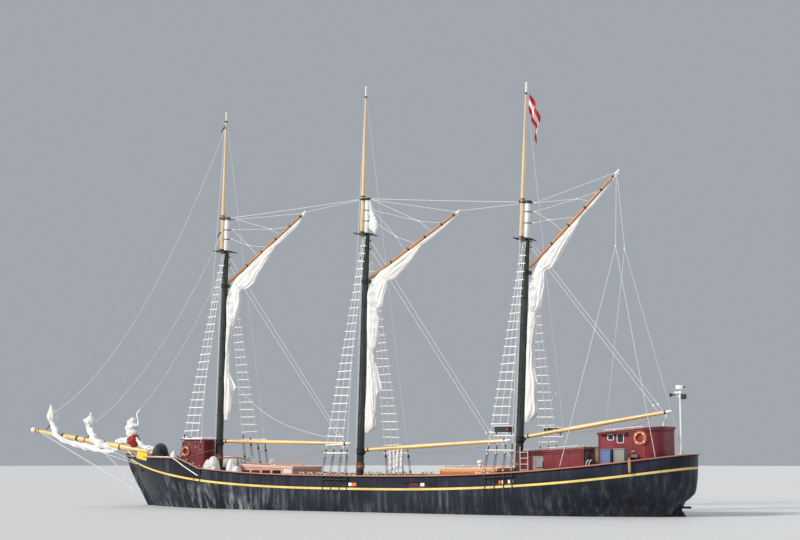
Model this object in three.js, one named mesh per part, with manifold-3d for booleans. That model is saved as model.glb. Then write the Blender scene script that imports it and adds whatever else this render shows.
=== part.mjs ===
// Three-masted gaff schooner with her whole hull, as a model at half the real ship's size.
// Millimetres of the model. +X points forward, +Y to port, +Z up.
// The origin lies on the waterline, on the centre plane, amidships.

import * as THREE from 'three';
import { mergeVertices } from 'three/addons/utils/BufferGeometryUtils.js';
import Module from 'manifold-3d';

const wasm = await Module();
wasm.setup();

// Fits
const GAP = 0.3; // between pieces that touch
const BEARING = 0.4; // between faces that turn on each other
const PLAY = 6; // around pieces that swing
const MERGE = 0.05; // the finest detail kept after a cut or a join

// Hull
const HALF_BEAM = 1850;
const STERN_X = -11690;
const STEM_X = 8230;
const AFT_TAPER_X = -4500; // the plan narrows aft of here
const FORE_TAPER_X = 2400; // and forward of here
const SHEER_LOW = { x: -2200, z: 678 };
const SHEER_AFT = { reach: 9450, rise: 632, power: 2.3 };
const SHEER_FORE = { reach: 10090, rise: 842, power: 2.85 };
const FOREDECK = { x: 5400, z: 1053, endZ: 1200 };
const BULWARK_H = 358;
const FORECASTLE = { x: 4810, z: 1545, slope: 0.018, rampX: 3900 };
const BULWARK_T = 40;
const DECK_T = 30;
const CAP_RAIL = { height: 34, out: 14, in: 30 };
const KEEL_T = 120;
const DECK_END_X = 7800; // the deck stops short of the stem
const STOCK_HOLE = { ratio: 1.017, low: -200, over: 20 }; // the hole is 24-sided, so a little wider

// Bottom of the round body on the centre plane: station x, height z.
const BODY_BOTTOM = [
  [-11690, 850], [-11620, 600], [-11450, 460], [-11280, 350], [-11150, 100], [-11100, 0],
  [-10900, -150], [-10500, -350], [-10000, -540], [-9000, -820], [-8000, -1000], [-7000, -1110],
  [-6000, -1180], [-4000, -1230], [0, -1220], [3000, -1170], [4700, -1060], [5700, -880],
  [6400, -620], [6850, -330], [7180, 0], [7450, 425], [7735, 820], [7960, 1150], [8210, 1495],
  [8290, 1600],
];
// Roundness of a section: station x, power (1 is a straight vee, 3 a full bilge).
const FULLNESS = [
  [-11690, 2.2], [-10500, 1.75], [-9500, 1.8], [-8000, 2.2], [-6500, 2.7], [-4000, 3.1],
  [1500, 3.0], [3500, 2.4], [5000, 1.75], [6000, 1.4], [7000, 1.18], [8230, 1.05],
];
const STATIONS = [
  -11690, -11670, -11620, -11520, -11350, -11150, -10900, -10500, -10000, -9300, -8500, -7500,
  -6000, -4000, -1500, 1000, 2400, 3300, 3900, 4400, 4810, 5400, 6000, 6600, 7100, 7500, 7850,
  8100, 8225,
];
const SECTION_STEPS = [0, 0.06, 0.16, 0.3, 0.46, 0.64, 0.82, 1];

// Keel, stem and sternpost in side view: x, z.
const KEEL_OUTLINE = [
  [8345, 1700], [8130, 1180], [7900, 820], [7610, 400], [7330, -40], [6980, -420], [6480, -740],
  [5700, -1010], [4600, -1210], [0, -1400], [-8000, -1500], [-11330, -1520], [-11330, -1440],
  [-11020, -1440], [-11020, 40], [-10500, 20], [-9000, -300], [0, -900], [4000, -800],
  [6000, -300], [7000, 400], [7700, 1150], [8080, 1700],
];
const PROP_WELL = [[-10960, -1370], [-10520, -1370], [-10520, -430], [-10960, -330]];

// Freeing ports: aft end, forward end.
const FREEING_PORTS = [[-1970, -1670], [-4275, -3710], [-7100, -6575]];
const FREEING_PORT_Z = { low: 50, high: 150 };

// Rudder and propeller
const RUDDER_AXIS_X = -11240;
const RUDDER_T = 70;
const RUDDER_OUTLINE = [
  [-11080, -1425], [-11080, -120], [-11130, -40], [-11200, 110], [-11300, 150], [-11430, -60],
  [-11600, -420], [-11660, -900], [-11640, -1425],
];
const RUDDER_STOCK = { r: 40, top: 600 };
const PINTLE = { r: 30, low: -1440, high: -1400 };
const PROPELLER = {
  x: -10520, z: -800, hubR: 62, hubTip: 24, hubL: 210, reach: 330, root: 90, wide: 200, widest: 0.65,
  thick: 16, seat: 0.42, pitch: 55, blades: 4,
};

// Masts. x is where the axis crosses the waterline plane; heights run along the mast.
const MASTS = [
  { name: 'fore', x: 4492, rake: 0.0262, hounds: 8266, boom: 2106, gaff: 7160, chains: -70 },
  { name: 'main', x: -897, rake: 0.0308, hounds: 8465, boom: 1807, gaff: 7005, chains: -135 },
  { name: 'mizzen', x: -6288, rake: 0.0474, hounds: 7933, boom: 2162, gaff: 6966, chains: -138 },
];
const MAST_R = { deck: 118, hounds: 96, head: 78 };
const DOUBLING = 1164;
const TOPMAST = {
  ahead: 178, heelR: 66, capR: 60, tipR: 27, above: 3500, heelDrop: 70, heelUp: 90, truckR: 46,
};
const MAST_FOOT = 200;
const CAP = { aft: 105, ahead: 95, half: 105, high: 60 };
const COAT = { out: 50, low: 40, high: 110 };
const TREES = { thick: 56, aft: 150, ahead: 120, half: 118 };
const SPREADER = { half: 520, x0: -86, x1: -34 };
const TRIATIC = { below: 30, ahead: 40 };

// Booms and gaffs: outer end x and z in the ship's frame, radii at the jaws, middle and end.
const BOOM_END = { fore: [-600, 2010], main: [-6110, 2094], mizzen: [-11045, 2870] };
const GAFF_END = { fore: [1130, 9385], main: [-4460, 8985], mizzen: [-9615, 9745] };
const BOOM_R = [52, 66, 44];
const GAFF_R = [46, 54, 34];
const JAW = { ring: 34, high: 120, butt: 8 };
const COLLAR = { ring: 40, high: 40 };
const TACKLE_R = 16;

// Furled sails in side view, as they hang from each gaff: x, z in the ship's frame.
const SAIL_T = 210;
const SAIL_CLEAR = { mast: 46, low: 500, yoke: 40 };
const SAILS = {
  fore: [
    [1190, 9330], [1743, 8740], [2517, 8000], [3219, 7080], [3530, 6494], [3759, 5689],
    [3860, 5174], [3738, 4400], [3729, 3750], [3960, 3424], [4076, 2779], [4200, 2779],
    [4190, 3686], [4170, 5182], [4140, 6029], [4110, 6683], [4090, 7020],
  ],
  main: [
    [-4380, 8960], [-3761, 8340], [-3062, 7760], [-2355, 7080], [-2070, 6381], [-1856, 5467],
    [-1714, 4643], [-1716, 3480], [-1501, 3400], [-1360, 2327], [-1210, 2327], [-1230, 3334],
    [-1270, 4656], [-1320, 6419], [-1350, 6900],
  ],
  mizzen: [
    [-9540, 9700], [-9003, 8940], [-8369, 8180], [-7789, 7200], [-7394, 6119], [-7126, 4969],
    [-6953, 3817], [-6915, 3241], [-6748, 2581], [-6652, 2582], [-6660, 3823], [-6720, 5274],
    [-6790, 6442], [-6830, 6880],
  ],
};

// Standing rigging
const WIRE_R = 9;
const SHROUD_STEPS = [-300, 0, 300];
const BACKSTAY_STEP = -560;
const BACKSTAY_DROP = 260;
const EYE_BLOCK = { half: 50, deep: 34, high: 60, out: 122, spread: 0.12 };
const TOP_EYE = { half: 24, deep: 26, high: 50, out: 44 };
const CHAIN_OUT = 66;
const CHAIN_DROP = 90;
const SHEER_POLE_UP = 680;
const SHEER_POLE = { wide: 34, high: 34 };
const CHAIN_BAR = { wide: 100, high: 60, in: 28 };
const POLE_OVER = 60;
const BOWSPRIT = { heel: [6900, 1684], tip: [12565, 2515], heelR: 96, tipR: 62 };
const STAYS = [
  { name: 'forestay', at: 8605, mast: 0, up: 8180, ahead: false },
  { name: 'jib_stay', at: 10150, mast: 0, up: 9060, ahead: true },
  { name: 'flying_jib_stay', at: 12020, mast: 0, up: 12580, ahead: true },
];
const BOBSTAYS = [
  { name: 'bobstay_outer', at: 12370, to: [7420, 260] },
  { name: 'bobstay_inner', at: 9825, to: [7465, 345] },
];
const BOBSTAY_R = 12;
const BITT = { x0: 20, x1: 200, half: 150, low: 900, over: 90 };

// Jibs lowered and bunched over their stays: foot on the bowsprit x, peak x and z, half width.
const JIBS = [
  { name: 'jib_outer', foot: 11560, peak: [11815, 3380], half: 190 },
  { name: 'jib_middle', foot: 9770, peak: [9955, 3100], half: 200 },
  { name: 'jib_inner', foot: 8000, peak: [7760, 3200], half: 230 },
];
const JIB_PEAK_R = 40;
// Under each bunch its foot lies rolled along the bowsprit: reach aft and forward, height, radii.
const JIB_ROLL = { aft: 420, ahead: 380, up: 110, rows: [[0, 70], [0.3, 140], [0.8, 130], [1, 50]] };

// Deck houses: fore end, aft end, half width, wall thickness, roof heights at the fore and aft ends.
const TRUNK_CABINS = [
  { name: 'trunk_cabin_fore', x1: 2990, x0: 1020, half: 800, z1: 1335, z0: 1270 },
  { name: 'trunk_cabin_main', x1: -4170, x0: -6020, half: 760, z1: 1240, z0: 1255 },
];
const WALL = 50;
const HOUSE_FOOT = 300; // below every deck; the deck cuts the walls off
const ROOF = { thick: 40, over: 30 };
const CLEAR_UP = 400; // how far a cutter runs on past a roof
const BEYOND = 3000; // wider or higher than any house
const DECKHOUSE = { x1: -6725, x0: -8755, half: 800, z1: 1725, z0: 1850 };
const WHEELHOUSE = { x1: -9195, x0: -10955, half: 800, corner: 500, z1: 2255, z0: 2405 };
const FORE_HOUSE = { x1: 5560, x0: 4680, half: 500, z1: 2135, z0: 2120 };
const DECKHOUSE_DOOR = { hinge: -7180, wide: 330, low: 90, top: 1640 };
const WHEELHOUSE_DOOR = { hingeY: 620, wide: 330, low: 90, high: 1010 };
const HINGE = { r: 14, up: 60, lug: 50, arm: 60, sunk: 20 };
const HINGE_OUT = HINGE.r + PLAY; // from a house's face to its door's hinge axis
const DOOR_CUT = { in: 120, out: 60 };

// Deck gear
const WINDLASS = {
  x0: 6050, x1: 6450, axisX: 6250, axisZ: 1420, top: 1500, low: 900, cheekIn: 250, cheekOut: 330,
  warpingR: 90, warpingHalf: 520, drumR: 140, drumHalf: 200,
};
const STERN_POLE = { x: -11290, low: 1000, r0: 30, r1: 24, top: 3480, drumR: 120, drumZ: [3470, 3570] };
const POLE_ARM = { aft: 40, ahead: 160, half: 30, z0: 3360, z1: 3400 };

const DEG = Math.PI / 180;

// Value at x in a table of [x, value] rows, straight between rows.
function lookup(table, x) {
  if (x <= table[0][0]) return table[0][1];
  for (let i = 1; i < table.length; i++) {
    if (x > table[i][0]) continue;
    const [x0, v0] = table[i - 1];
    const [x1, v1] = table[i];
    return v0 + ((v1 - v0) * (x - x0)) / (x1 - x0);
  }
  return table[table.length - 1][1];
}

// Height of the sheer line, which the deck's edge follows.
function sheerZ(x) {
  const side = x < SHEER_LOW.x ? SHEER_AFT : SHEER_FORE;
  return SHEER_LOW.z + side.rise * (Math.abs(x - SHEER_LOW.x) / side.reach) ** side.power;
}

function deckZ(x) {
  if (x < FOREDECK.x) return sheerZ(x);
  return FOREDECK.z + ((FOREDECK.endZ - FOREDECK.z) * (x - FOREDECK.x)) / (STEM_X - FOREDECK.x);
}

function railZ(x) {
  const raised = FORECASTLE.z + (x - FORECASTLE.x) * FORECASTLE.slope;
  if (x >= FORECASTLE.x) return raised;
  const plain = sheerZ(x) + BULWARK_H;
  if (x <= FORECASTLE.rampX) return plain;
  const t = (x - FORECASTLE.rampX) / (FORECASTLE.x - FORECASTLE.rampX);
  return plain + (raised - plain) * t;
}

const deckTop = (x) => deckZ(x) + GAP + DECK_T;

// Half breadth at the rail in plan: a full ellipse-like stern and a pointed bow.
function planHalf(x) {
  if (x < AFT_TAPER_X) {
    const t = Math.min(1, (AFT_TAPER_X - x) / (AFT_TAPER_X - STERN_X));
    return HALF_BEAM * Math.max(0, 1 - t ** 4.6) ** (1 / 2.1);
  }
  if (x > FORE_TAPER_X) {
    const t = Math.min(1, (x - FORE_TAPER_X) / (STEM_X + 70 - FORE_TAPER_X));
    return HALF_BEAM * (1 - t ** 2.6);
  }
  return HALF_BEAM;
}

// Half breadth of the skin at station x and height z, moved out by `out`.
function skinY(x, z, out = 0) {
  const inset = Math.max(0, -out);
  const xe = x < -7000 ? x - (inset * (-7000 - x)) / (-7000 - STERN_X - inset) : x;
  const low = lookup(BODY_BOTTOM, xe);
  const s = Math.min(1, Math.max(0, (z - low) / (railZ(xe) - low)));
  const n = lookup(FULLNESS, xe);
  return planHalf(xe) * (1 - (1 - s) ** n) ** (1 / n) + out;
}

function cleaned(geometry) {
  const g = geometry.index ? geometry.toNonIndexed() : geometry.clone();
  for (const name of Object.keys(g.attributes)) if (name !== 'position') g.deleteAttribute(name);
  return mergeVertices(g, 1e-3);
}

function toSolid(geometry) {
  const g = cleaned(geometry);
  const solid = new wasm.Manifold(new wasm.Mesh({
    numProp: 3,
    vertProperties: new Float32Array(g.attributes.position.array),
    triVerts: new Uint32Array(g.index.array),
  }));
  return solid;
}

// Slivers under MERGE are taken out of what the cuts and joins leave.
function fromSolid(solid) {
  const mesh = solid.simplify(MERGE).getMesh();
  const g = new THREE.BufferGeometry();
  g.setAttribute('position', new THREE.BufferAttribute(new Float32Array(mesh.vertProperties), 3));
  g.setIndex(new THREE.BufferAttribute(new Uint32Array(mesh.triVerts), 1));
  return g;
}

function join(...pieces) {
  return fromSolid(pieces.map(toSolid).reduce((a, b) => a.add(b)));
}

function cut(piece, ...tools) {
  return fromSolid(tools.map(toSolid).reduce((a, b) => a.subtract(b), toSolid(piece)));
}

function box(x0, x1, y0, y1, z0, z1) {
  const g = new THREE.BoxGeometry(x1 - x0, y1 - y0, z1 - z0);
  return g.translate((x0 + x1) / 2, (y0 + y1) / 2, (z0 + z1) / 2);
}

// Turns a shape whose axis is +Y to run from a to b, with its middle halfway.
function along(geometry, a, b) {
  const dir = new THREE.Vector3().subVectors(b, a).normalize();
  const turn = new THREE.Quaternion().setFromUnitVectors(new THREE.Vector3(0, 1, 0), dir);
  const middle = new THREE.Vector3().addVectors(a, b).multiplyScalar(0.5);
  return geometry.applyMatrix4(new THREE.Matrix4().compose(middle, turn, new THREE.Vector3(1, 1, 1)));
}

function rod(a, b, r0, r1 = r0, sides = 4) {
  return along(new THREE.CylinderGeometry(r1, r0, a.distanceTo(b), sides), a, b);
}

// Square bar from a to b, running on past both by `over`, with level upper and lower faces.
function beam(a, b, over, size) {
  const dir = new THREE.Vector3().subVectors(b, a);
  const bar = new THREE.BoxGeometry(dir.length() + 2 * over, size.wide, size.high);
  bar.rotateY(-Math.atan2(dir.z, Math.hypot(dir.x, dir.y))).rotateZ(Math.atan2(dir.y, dir.x));
  return bar.translate((a.x + b.x) / 2, (a.y + b.y) / 2, (a.z + b.z) / 2);
}

// A spar from a to b: rows of [share of the length, radius].
function spar(a, b, rows, sides = 10) {
  const length = a.distanceTo(b);
  const points = rows.map(([t, r]) => new THREE.Vector2(r, (t - 0.5) * length));
  const ends = [new THREE.Vector2(0, -length / 2), ...points, new THREE.Vector2(0, length / 2)];
  return along(new THREE.LatheGeometry(ends, sides), a, b);
}

// Upright lathe: rows of [radius, z].
function turned(rows, sides) {
  const points = rows.map(([r, z]) => new THREE.Vector2(r, z));
  const ends = [new THREE.Vector2(0, rows[0][1]), ...points, new THREE.Vector2(0, rows.at(-1)[1])];
  return new THREE.LatheGeometry(ends, sides).rotateX(Math.PI / 2);
}

// Side-view outline of [x, z] rows, extruded across the ship from y0 to y1.
function plate(outline, y0, y1, holes = []) {
  const shape = new THREE.Shape(outline.map(([x, z]) => new THREE.Vector2(x, z)));
  for (const hole of holes) {
    shape.holes.push(new THREE.Path(hole.map(([x, z]) => new THREE.Vector2(x, z))));
  }
  const g = new THREE.ExtrudeGeometry(shape, { depth: y1 - y0, bevelEnabled: false, curveSegments: 6 });
  return g.rotateX(Math.PI / 2).translate(0, y1, 0);
}

// Flat ring around +Z.
function ring(inner, outer, z0, z1, sides = 24) {
  const shape = new THREE.Shape().absarc(0, 0, outer, 0, 2 * Math.PI);
  shape.holes.push(new THREE.Path().absarc(0, 0, inner, 0, 2 * Math.PI, true));
  const options = { depth: z1 - z0, bevelEnabled: false, curveSegments: sides / 2 };
  const g = new THREE.ExtrudeGeometry(shape, options);
  return g.translate(0, 0, z0);
}

// Skin through closed rings of [x, y, z] with equal counts; flat convex ends.
function loft(rings) {
  const n = rings[0].length;
  const positions = rings.flat(2);
  const index = [];
  for (let i = 0; i + 1 < rings.length; i++) {
    for (let j = 0; j < n; j++) {
      const a = i * n + j;
      const b = i * n + ((j + 1) % n);
      index.push(a, b, a + n, b, b + n, a + n);
    }
  }
  for (let j = 1; j + 1 < n; j++) {
    const last = (rings.length - 1) * n;
    index.push(0, j + 1, j, last, last + j, last + j + 1);
  }
  const g = new THREE.BufferGeometry();
  g.setAttribute('position', new THREE.Float32BufferAttribute(positions, 3));
  g.setIndex(index);
  return signedVolume(g) < 0 ? flipped(g) : g;
}

function signedVolume(g) {
  const p = g.attributes.position;
  const [a, b, c] = [new THREE.Vector3(), new THREE.Vector3(), new THREE.Vector3()];
  let sum = 0;
  for (let i = 0; i < g.index.count; i += 3) {
    a.fromBufferAttribute(p, g.index.getX(i));
    b.fromBufferAttribute(p, g.index.getX(i + 1));
    c.fromBufferAttribute(p, g.index.getX(i + 2));
    sum += a.dot(b.cross(c));
  }
  return sum;
}

function flipped(g) {
  const index = g.index.array;
  for (let i = 0; i < index.length; i += 3) [index[i + 1], index[i + 2]] = [index[i + 2], index[i + 1]];
  return g;
}

// The hull's shape between two heights, as a solid: low(x) and high(x) are its bottom and top.
function hullSlice(low, high, out, steps, stations) {
  const rings = [];
  for (const x of stations) {
    const [z0, z1] = [low(x), high(x)];
    if (z1 - z0 < 1) continue;
    const side = steps.map((t) => [x, Math.max(skinY(x, z0 + (z1 - z0) * t, out), 1.5), z0 + (z1 - z0) * t]);
    if (side.at(-1)[1] <= 2) continue;
    rings.push([...side, ...side.map(([sx, sy, sz]) => [sx, -sy, sz]).reverse()]);
  }
  return loft(rings);
}

const bodyLow = (x) => lookup(BODY_BOTTOM, x);
const hasBody = (x) => deckZ(x) - bodyLow(x) > 30;
const bulwarkLow = (x) => Math.max(deckZ(x) + GAP, bodyLow(x));
const WALL_STEPS = [0, 0.5, 1];
const PAST = 20; // a cutter runs on this far past what it cuts
const WELL_STATIONS = [STERN_X + BULWARK_T, ...STATIONS.slice(2)];

// Everything below the deck's upper face, to seat deck gear on it.
function deckCutter() {
  const rings = STATIONS.map((x) => {
    const top = deckTop(x) + GAP;
    return [[x, -BEYOND, -BEYOND], [x, BEYOND, -BEYOND], [x, BEYOND, top], [x, -BEYOND, top]];
  });
  return loft(rings);
}
const belowDeck = deckCutter();
const onDeck = (piece) => cut(piece, belowDeck);

const material = (color, roughness = 0.6, metalness = 0) => (
  new THREE.MeshStandardMaterial({ color, roughness, metalness }));
const PAINT = {
  hull: material(0x17181c, 0.5),
  deck: material(0x8d6b45, 0.8),
  rail: material(0xa9694a, 0.6),
  mast: material(0x16231f, 0.5),
  spar: material(0xd9b36a, 0.5),
  gaff: material(0xb9783f, 0.5),
  iron: material(0x1b1d1e, 0.6, 0.4),
  wire: material(0x9aa0a0, 0.5, 0.5),
  canvas: material(0xe6e6e2, 0.9),
  red: material(0x7f1e24, 0.5),
  cabin: material(0xb9603a, 0.6),
  bronze: material(0x9c7a3c, 0.4, 0.8),
  white: material(0xe8e8e6, 0.5),
};

const ship = new THREE.Group();
const mastGroups = {};

function node(name, geometry, paint, parent = ship) {
  const mesh = new THREE.Mesh(geometry, paint);
  mesh.name = name;
  parent.add(mesh);
  return mesh;
}

const at = (x, y, z) => new THREE.Vector3(x, y, z);
const mastX = (mast, z) => mast.x - Math.tan(mast.rake) * z;
const mastPoint = (mast, up, ahead = 0) => at(
  mast.x - Math.sin(mast.rake) * up + Math.cos(mast.rake) * ahead,
  0,
  Math.cos(mast.rake) * up + Math.sin(mast.rake) * ahead,
);
// A point of the ship's frame, in the mast's own leaning frame.
const inMast = (mast, x, z) => at(
  Math.cos(mast.rake) * (x - mast.x) + Math.sin(mast.rake) * z,
  0,
  -Math.sin(mast.rake) * (x - mast.x) + Math.cos(mast.rake) * z,
);
const mastR = (up, mast) => MAST_R.deck + (MAST_R.hounds - MAST_R.deck) * (up / mast.hounds);

// Bowsprit, found first because the stem and the stays are cut to it.
const [heelX, heelZ] = BOWSPRIT.heel;
const [tipX, tipZ] = BOWSPRIT.tip;
const bowspritZ = (x) => heelZ + ((tipZ - heelZ) * (x - heelX)) / (tipX - heelX);
const bowspritRows = (extra) => [
  [0, BOWSPRIT.heelR + extra], [0.35, BOWSPRIT.heelR + extra], [1, BOWSPRIT.tipR + extra],
];
const bowspritSolid = (extra) => spar(at(heelX, 0, heelZ), at(tipX, 0, tipZ), bowspritRows(extra), 12);
const aroundBowsprit = bowspritSolid(GAP);

function buildHull() {
  const body = hullSlice(bodyLow, deckZ, 0, SECTION_STEPS, STATIONS.filter(hasBody));
  const backbone = plate(KEEL_OUTLINE, -KEEL_T / 2, KEEL_T / 2, [PROP_WELL]);
  const holeR = RUDDER_STOCK.r * STOCK_HOLE.ratio;
  const stockHole = turned([[holeR, STOCK_HOLE.low], [holeR, RUDDER_STOCK.top + STOCK_HOLE.over]], 24);
  stockHole.translate(RUDDER_AXIS_X, 0, 0);
  node('hull', cut(join(body, backbone), aroundBowsprit, stockHole), PAINT.hull);
}

// The stem and backbone, a little fatter, for what meets them above the deck and ahead of the bow.
const aroundStem = plate(KEEL_OUTLINE, -KEEL_T / 2 - GAP, KEEL_T / 2 + GAP);
const aheadOfStem = aroundStem.clone().translate(1.5 * GAP, 0, 0);

function buildBulwark() {
  const outer = hullSlice(bulwarkLow, railZ, 0, WALL_STEPS, STATIONS);
  const well = hullSlice(
    (x) => bulwarkLow(x) - PAST, (x) => railZ(x) + PAST, -BULWARK_T, WALL_STEPS, WELL_STATIONS);
  const ports = FREEING_PORTS.map(([x0, x1]) => {
    const base = deckTop((x0 + x1) / 2);
    return box(x0, x1, -BEYOND, BEYOND, base + FREEING_PORT_Z.low, base + FREEING_PORT_Z.high);
  });
  node('bulwark', cut(outer, well, aroundStem, ...ports), PAINT.hull);
}

function buildDeck() {
  const planks = hullSlice(
    (x) => deckZ(x) + GAP,
    deckTop,
    -BULWARK_T - PLAY,
    [0, 1],
    WELL_STATIONS.filter((x) => x < DECK_END_X),
  );
  node('deck', planks, PAINT.deck);
}

function buildCapRail() {
  const low = (x) => railZ(x) + GAP;
  const high = (x) => railZ(x) + GAP + CAP_RAIL.height;
  const outer = hullSlice(low, high, CAP_RAIL.out, [0, 1], STATIONS);
  const inner = hullSlice(
    (x) => low(x) - PAST, (x) => high(x) + PAST, -BULWARK_T - CAP_RAIL.in, [0, 1], WELL_STATIONS);
  node('cap_rail', cut(outer, inner, aroundStem), PAINT.rail);
}

function buildRudder() {
  const blade = plate(RUDDER_OUTLINE, -RUDDER_T / 2, RUDDER_T / 2);
  const stock = turned([[RUDDER_STOCK.r, 0], [RUDDER_STOCK.r, RUDDER_STOCK.top]], 24);
  const pintle = turned([[PINTLE.r, PINTLE.low + BEARING], [PINTLE.r, PINTLE.high]], 12);
  const turnedParts = [stock, pintle].map((g) => g.translate(RUDDER_AXIS_X, 0, 0));
  node('rudder', join(blade, ...turnedParts), PAINT.hull);
}

function buildPropeller() {
  const { x, z, hubR, hubTip, hubL, reach, root, wide, widest, thick, seat, pitch, blades } = PROPELLER;
  const hub = spar(at(x - BEARING, 0, 0), at(x - hubL, 0, 0), [[0, hubR], [0.6, hubR], [1, hubTip]], 16);
  const half = [[root / 2, 0], [wide / 2, reach * widest], [root / 2, reach]];
  const outline = [...half, ...half.map(([px, py]) => [-px, py]).reverse()];
  const bladeShape = new THREE.Shape(outline.map(([px, py]) => new THREE.Vector2(px, py)));
  const bladeSolids = Array.from({ length: blades }, (_, k) => {
    const blade = new THREE.ExtrudeGeometry(bladeShape, { depth: thick, bevelEnabled: false });
    blade.translate(0, 0, -thick / 2).rotateY(pitch * DEG).rotateX((k * 360 * DEG) / blades);
    return blade.translate(x - hubL * seat, 0, 0);
  });
  node('propeller', join(hub, ...bladeSolids).translate(0, 0, z), PAINT.bronze);
}

function buildBowsprit() {
  node('bowsprit', bowspritSolid(0), PAINT.spar);
  const top = bowspritZ(heelX) + BITT.over;
  const bitt = box(heelX + BITT.x0, heelX + BITT.x1, -BITT.half, BITT.half, BITT.low, top);
  node('bowsprit_bitt', onDeck(cut(bitt, aroundBowsprit)), PAINT.rail);
}

// Lower mast, its head and its cap, in the mast's own frame.
function mastSolid(mast, extra = 0) {
  return turned([
    [MAST_R.deck + extra, MAST_FOOT], [MAST_R.hounds + extra, mast.hounds],
    [MAST_R.head + extra, mast.hounds], [MAST_R.head + extra, mast.hounds + DOUBLING],
  ], 24);
}

function topmastSolid(mast, extra = 0) {
  const cap = mast.hounds + DOUBLING;
  const top = cap + TOPMAST.above;
  return turned([
    [TOPMAST.heelR + extra, mast.hounds - TOPMAST.heelDrop - extra],
    [TOPMAST.heelR + extra, mast.hounds + TOPMAST.heelUp],
    [TOPMAST.capR + extra, cap], [TOPMAST.tipR + extra, top], [TOPMAST.truckR + extra, top + 8],
    [TOPMAST.truckR + extra, top + 34], [12 + extra, top + 48 + extra],
  ], 16).translate(TOPMAST.ahead, 0, 0);
}

function capBox(mast, extra = 0) {
  const top = mast.hounds + DOUBLING;
  const [aft, ahead] = [-CAP.aft - extra, TOPMAST.ahead + CAP.ahead + extra];
  return box(aft, ahead, -CAP.half - extra, CAP.half + extra, top - CAP.high - extra, top + extra);
}

function mastMatrix(mast) {
  return new THREE.Matrix4().makeTranslation(mast.x, 0, 0)
    .multiply(new THREE.Matrix4().makeRotationY(-mast.rake));
}

function buildMast(mast) {
  const group = new THREE.Group();
  group.position.set(mast.x, 0, 0);
  group.rotation.y = -mast.rake;
  ship.add(group);
  mastGroups[mast.name] = group;

  const collarR = mastR(mast.boom, mast) + COLLAR.ring;
  const collarTop = mast.boom - JAW.high / 2 - BEARING;
  const boomCollar = turned([[collarR, collarTop - COLLAR.high], [collarR, collarTop]], 24);
  const deckUp = deckTop(mast.x);
  const coatR = MAST_R.deck + COAT.out;
  const coat = turned(
    [[coatR, MAST_FOOT], [coatR, deckUp + COAT.low], [MAST_R.deck, deckUp + COAT.high]], 24);
  const upright = join(mastSolid(mast), boomCollar, capBox(mast), coat);
  const deckHere = belowDeck.clone().applyMatrix4(mastMatrix(mast).invert());
  node(`mast_${mast.name}`, cut(upright, topmastSolid(mast, GAP), deckHere), PAINT.mast, group);
  node(`topmast_${mast.name}`, topmastSolid(mast), PAINT.spar, group);

  const z0 = mast.hounds + GAP;
  const z1 = z0 + TREES.thick;
  const trestles = box(-TREES.aft, TOPMAST.ahead + TREES.ahead, -TREES.half, TREES.half, z0, z1);
  const spreader = box(SPREADER.x0, SPREADER.x1, -SPREADER.half, SPREADER.half, z0, z1);
  const trees = cut(join(trestles, spreader), mastSolid(mast, GAP), topmastSolid(mast, GAP));
  node(`crosstrees_${mast.name}`, trees, PAINT.iron, group);
}

// A boom or gaff in its mast's frame: a ring round the mast and a tapered spar.
function swingingSpar(mast, up, end, radii) {
  const inner = mastR(up, mast) + PLAY;
  const yoke = ring(inner, inner + JAW.ring, up - JAW.high / 2, up + JAW.high / 2);
  return join(yoke, sparSolid(mast, up, end, radii, 0));
}

// The tapered spar itself; its butt stands off the mast far enough for its slope.
function sparSolid(mast, up, end, radii, extra) {
  const tip = inMast(mast, ...end);
  const slope = Math.atan2(tip.z - up, -tip.x);
  const start = at(-mastR(up, mast) - PLAY - JAW.butt - radii[0] * Math.abs(Math.sin(slope)), 0, up);
  start.z += Math.tan(slope) * -start.x;
  return spar(start, tip, [[0, radii[0] + extra], [0.45, radii[1] + extra], [1, radii[2] + extra]]);
}

function buildBoom(mast) {
  const boom = swingingSpar(mast, mast.boom, BOOM_END[mast.name], BOOM_R);
  node(`boom_${mast.name}`, boom, PAINT.spar, mastGroups[mast.name]);
}

function gaffSolid(mast, extra) {
  return sparSolid(mast, mast.gaff, GAFF_END[mast.name], GAFF_R, extra);
}

function buildGaff(mast) {
  const gaff = swingingSpar(mast, mast.gaff, GAFF_END[mast.name], GAFF_R);
  const back = -mastR(mast.gaff, mast) - PLAY - TACKLE_R;
  const tackle = rod(at(back, 0, mast.gaff), at(back, 0, mast.hounds + GAP - BEARING), TACKLE_R, TACKLE_R, 6);
  node(`gaff_${mast.name}`, join(gaff, tackle), PAINT.gaff, mastGroups[mast.name]);
}

function buildSail(mast) {
  const outline = SAILS[mast.name].map(([x, z]) => {
    const p = inMast(mast, x, z);
    return [p.x, p.z];
  });
  const cloth = plate(outline, -SAIL_T / 2, SAIL_T / 2);
  const clearR = MAST_R.deck + SAIL_CLEAR.mast;
  const clearMast = turned([[clearR, SAIL_CLEAR.low], [clearR, mast.hounds]], 24);
  const inner = mastR(mast.gaff, mast) + PLAY;
  const halfHigh = JAW.high / 2 + GAP;
  const clearYoke = ring(
    inner - SAIL_CLEAR.yoke, inner + JAW.ring + GAP, mast.gaff - halfHigh, mast.gaff + halfHigh);
  const bundle = cut(cloth, clearMast, clearYoke, gaffSolid(mast, GAP));
  node(`sail_${mast.name}`, bundle, PAINT.canvas, mastGroups[mast.name]);
}

// Shrouds and a topmast backstay on one side, with their chain bar and sheer pole.
const aroundHull = join(
  hullSlice((x) => bodyLow(x) - 1, (x) => deckZ(x) + 1, GAP, SECTION_STEPS, STATIONS.filter(hasBody)),
  hullSlice((x) => bulwarkLow(x) - 1, (x) => railZ(x) + GAP, GAP, WALL_STEPS, STATIONS),
);
const aroundCapRail = hullSlice(
  (x) => railZ(x), (x) => railZ(x) + CAP_RAIL.height + 2 * GAP, CAP_RAIL.out + GAP, [0, 1], STATIONS);

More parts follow.
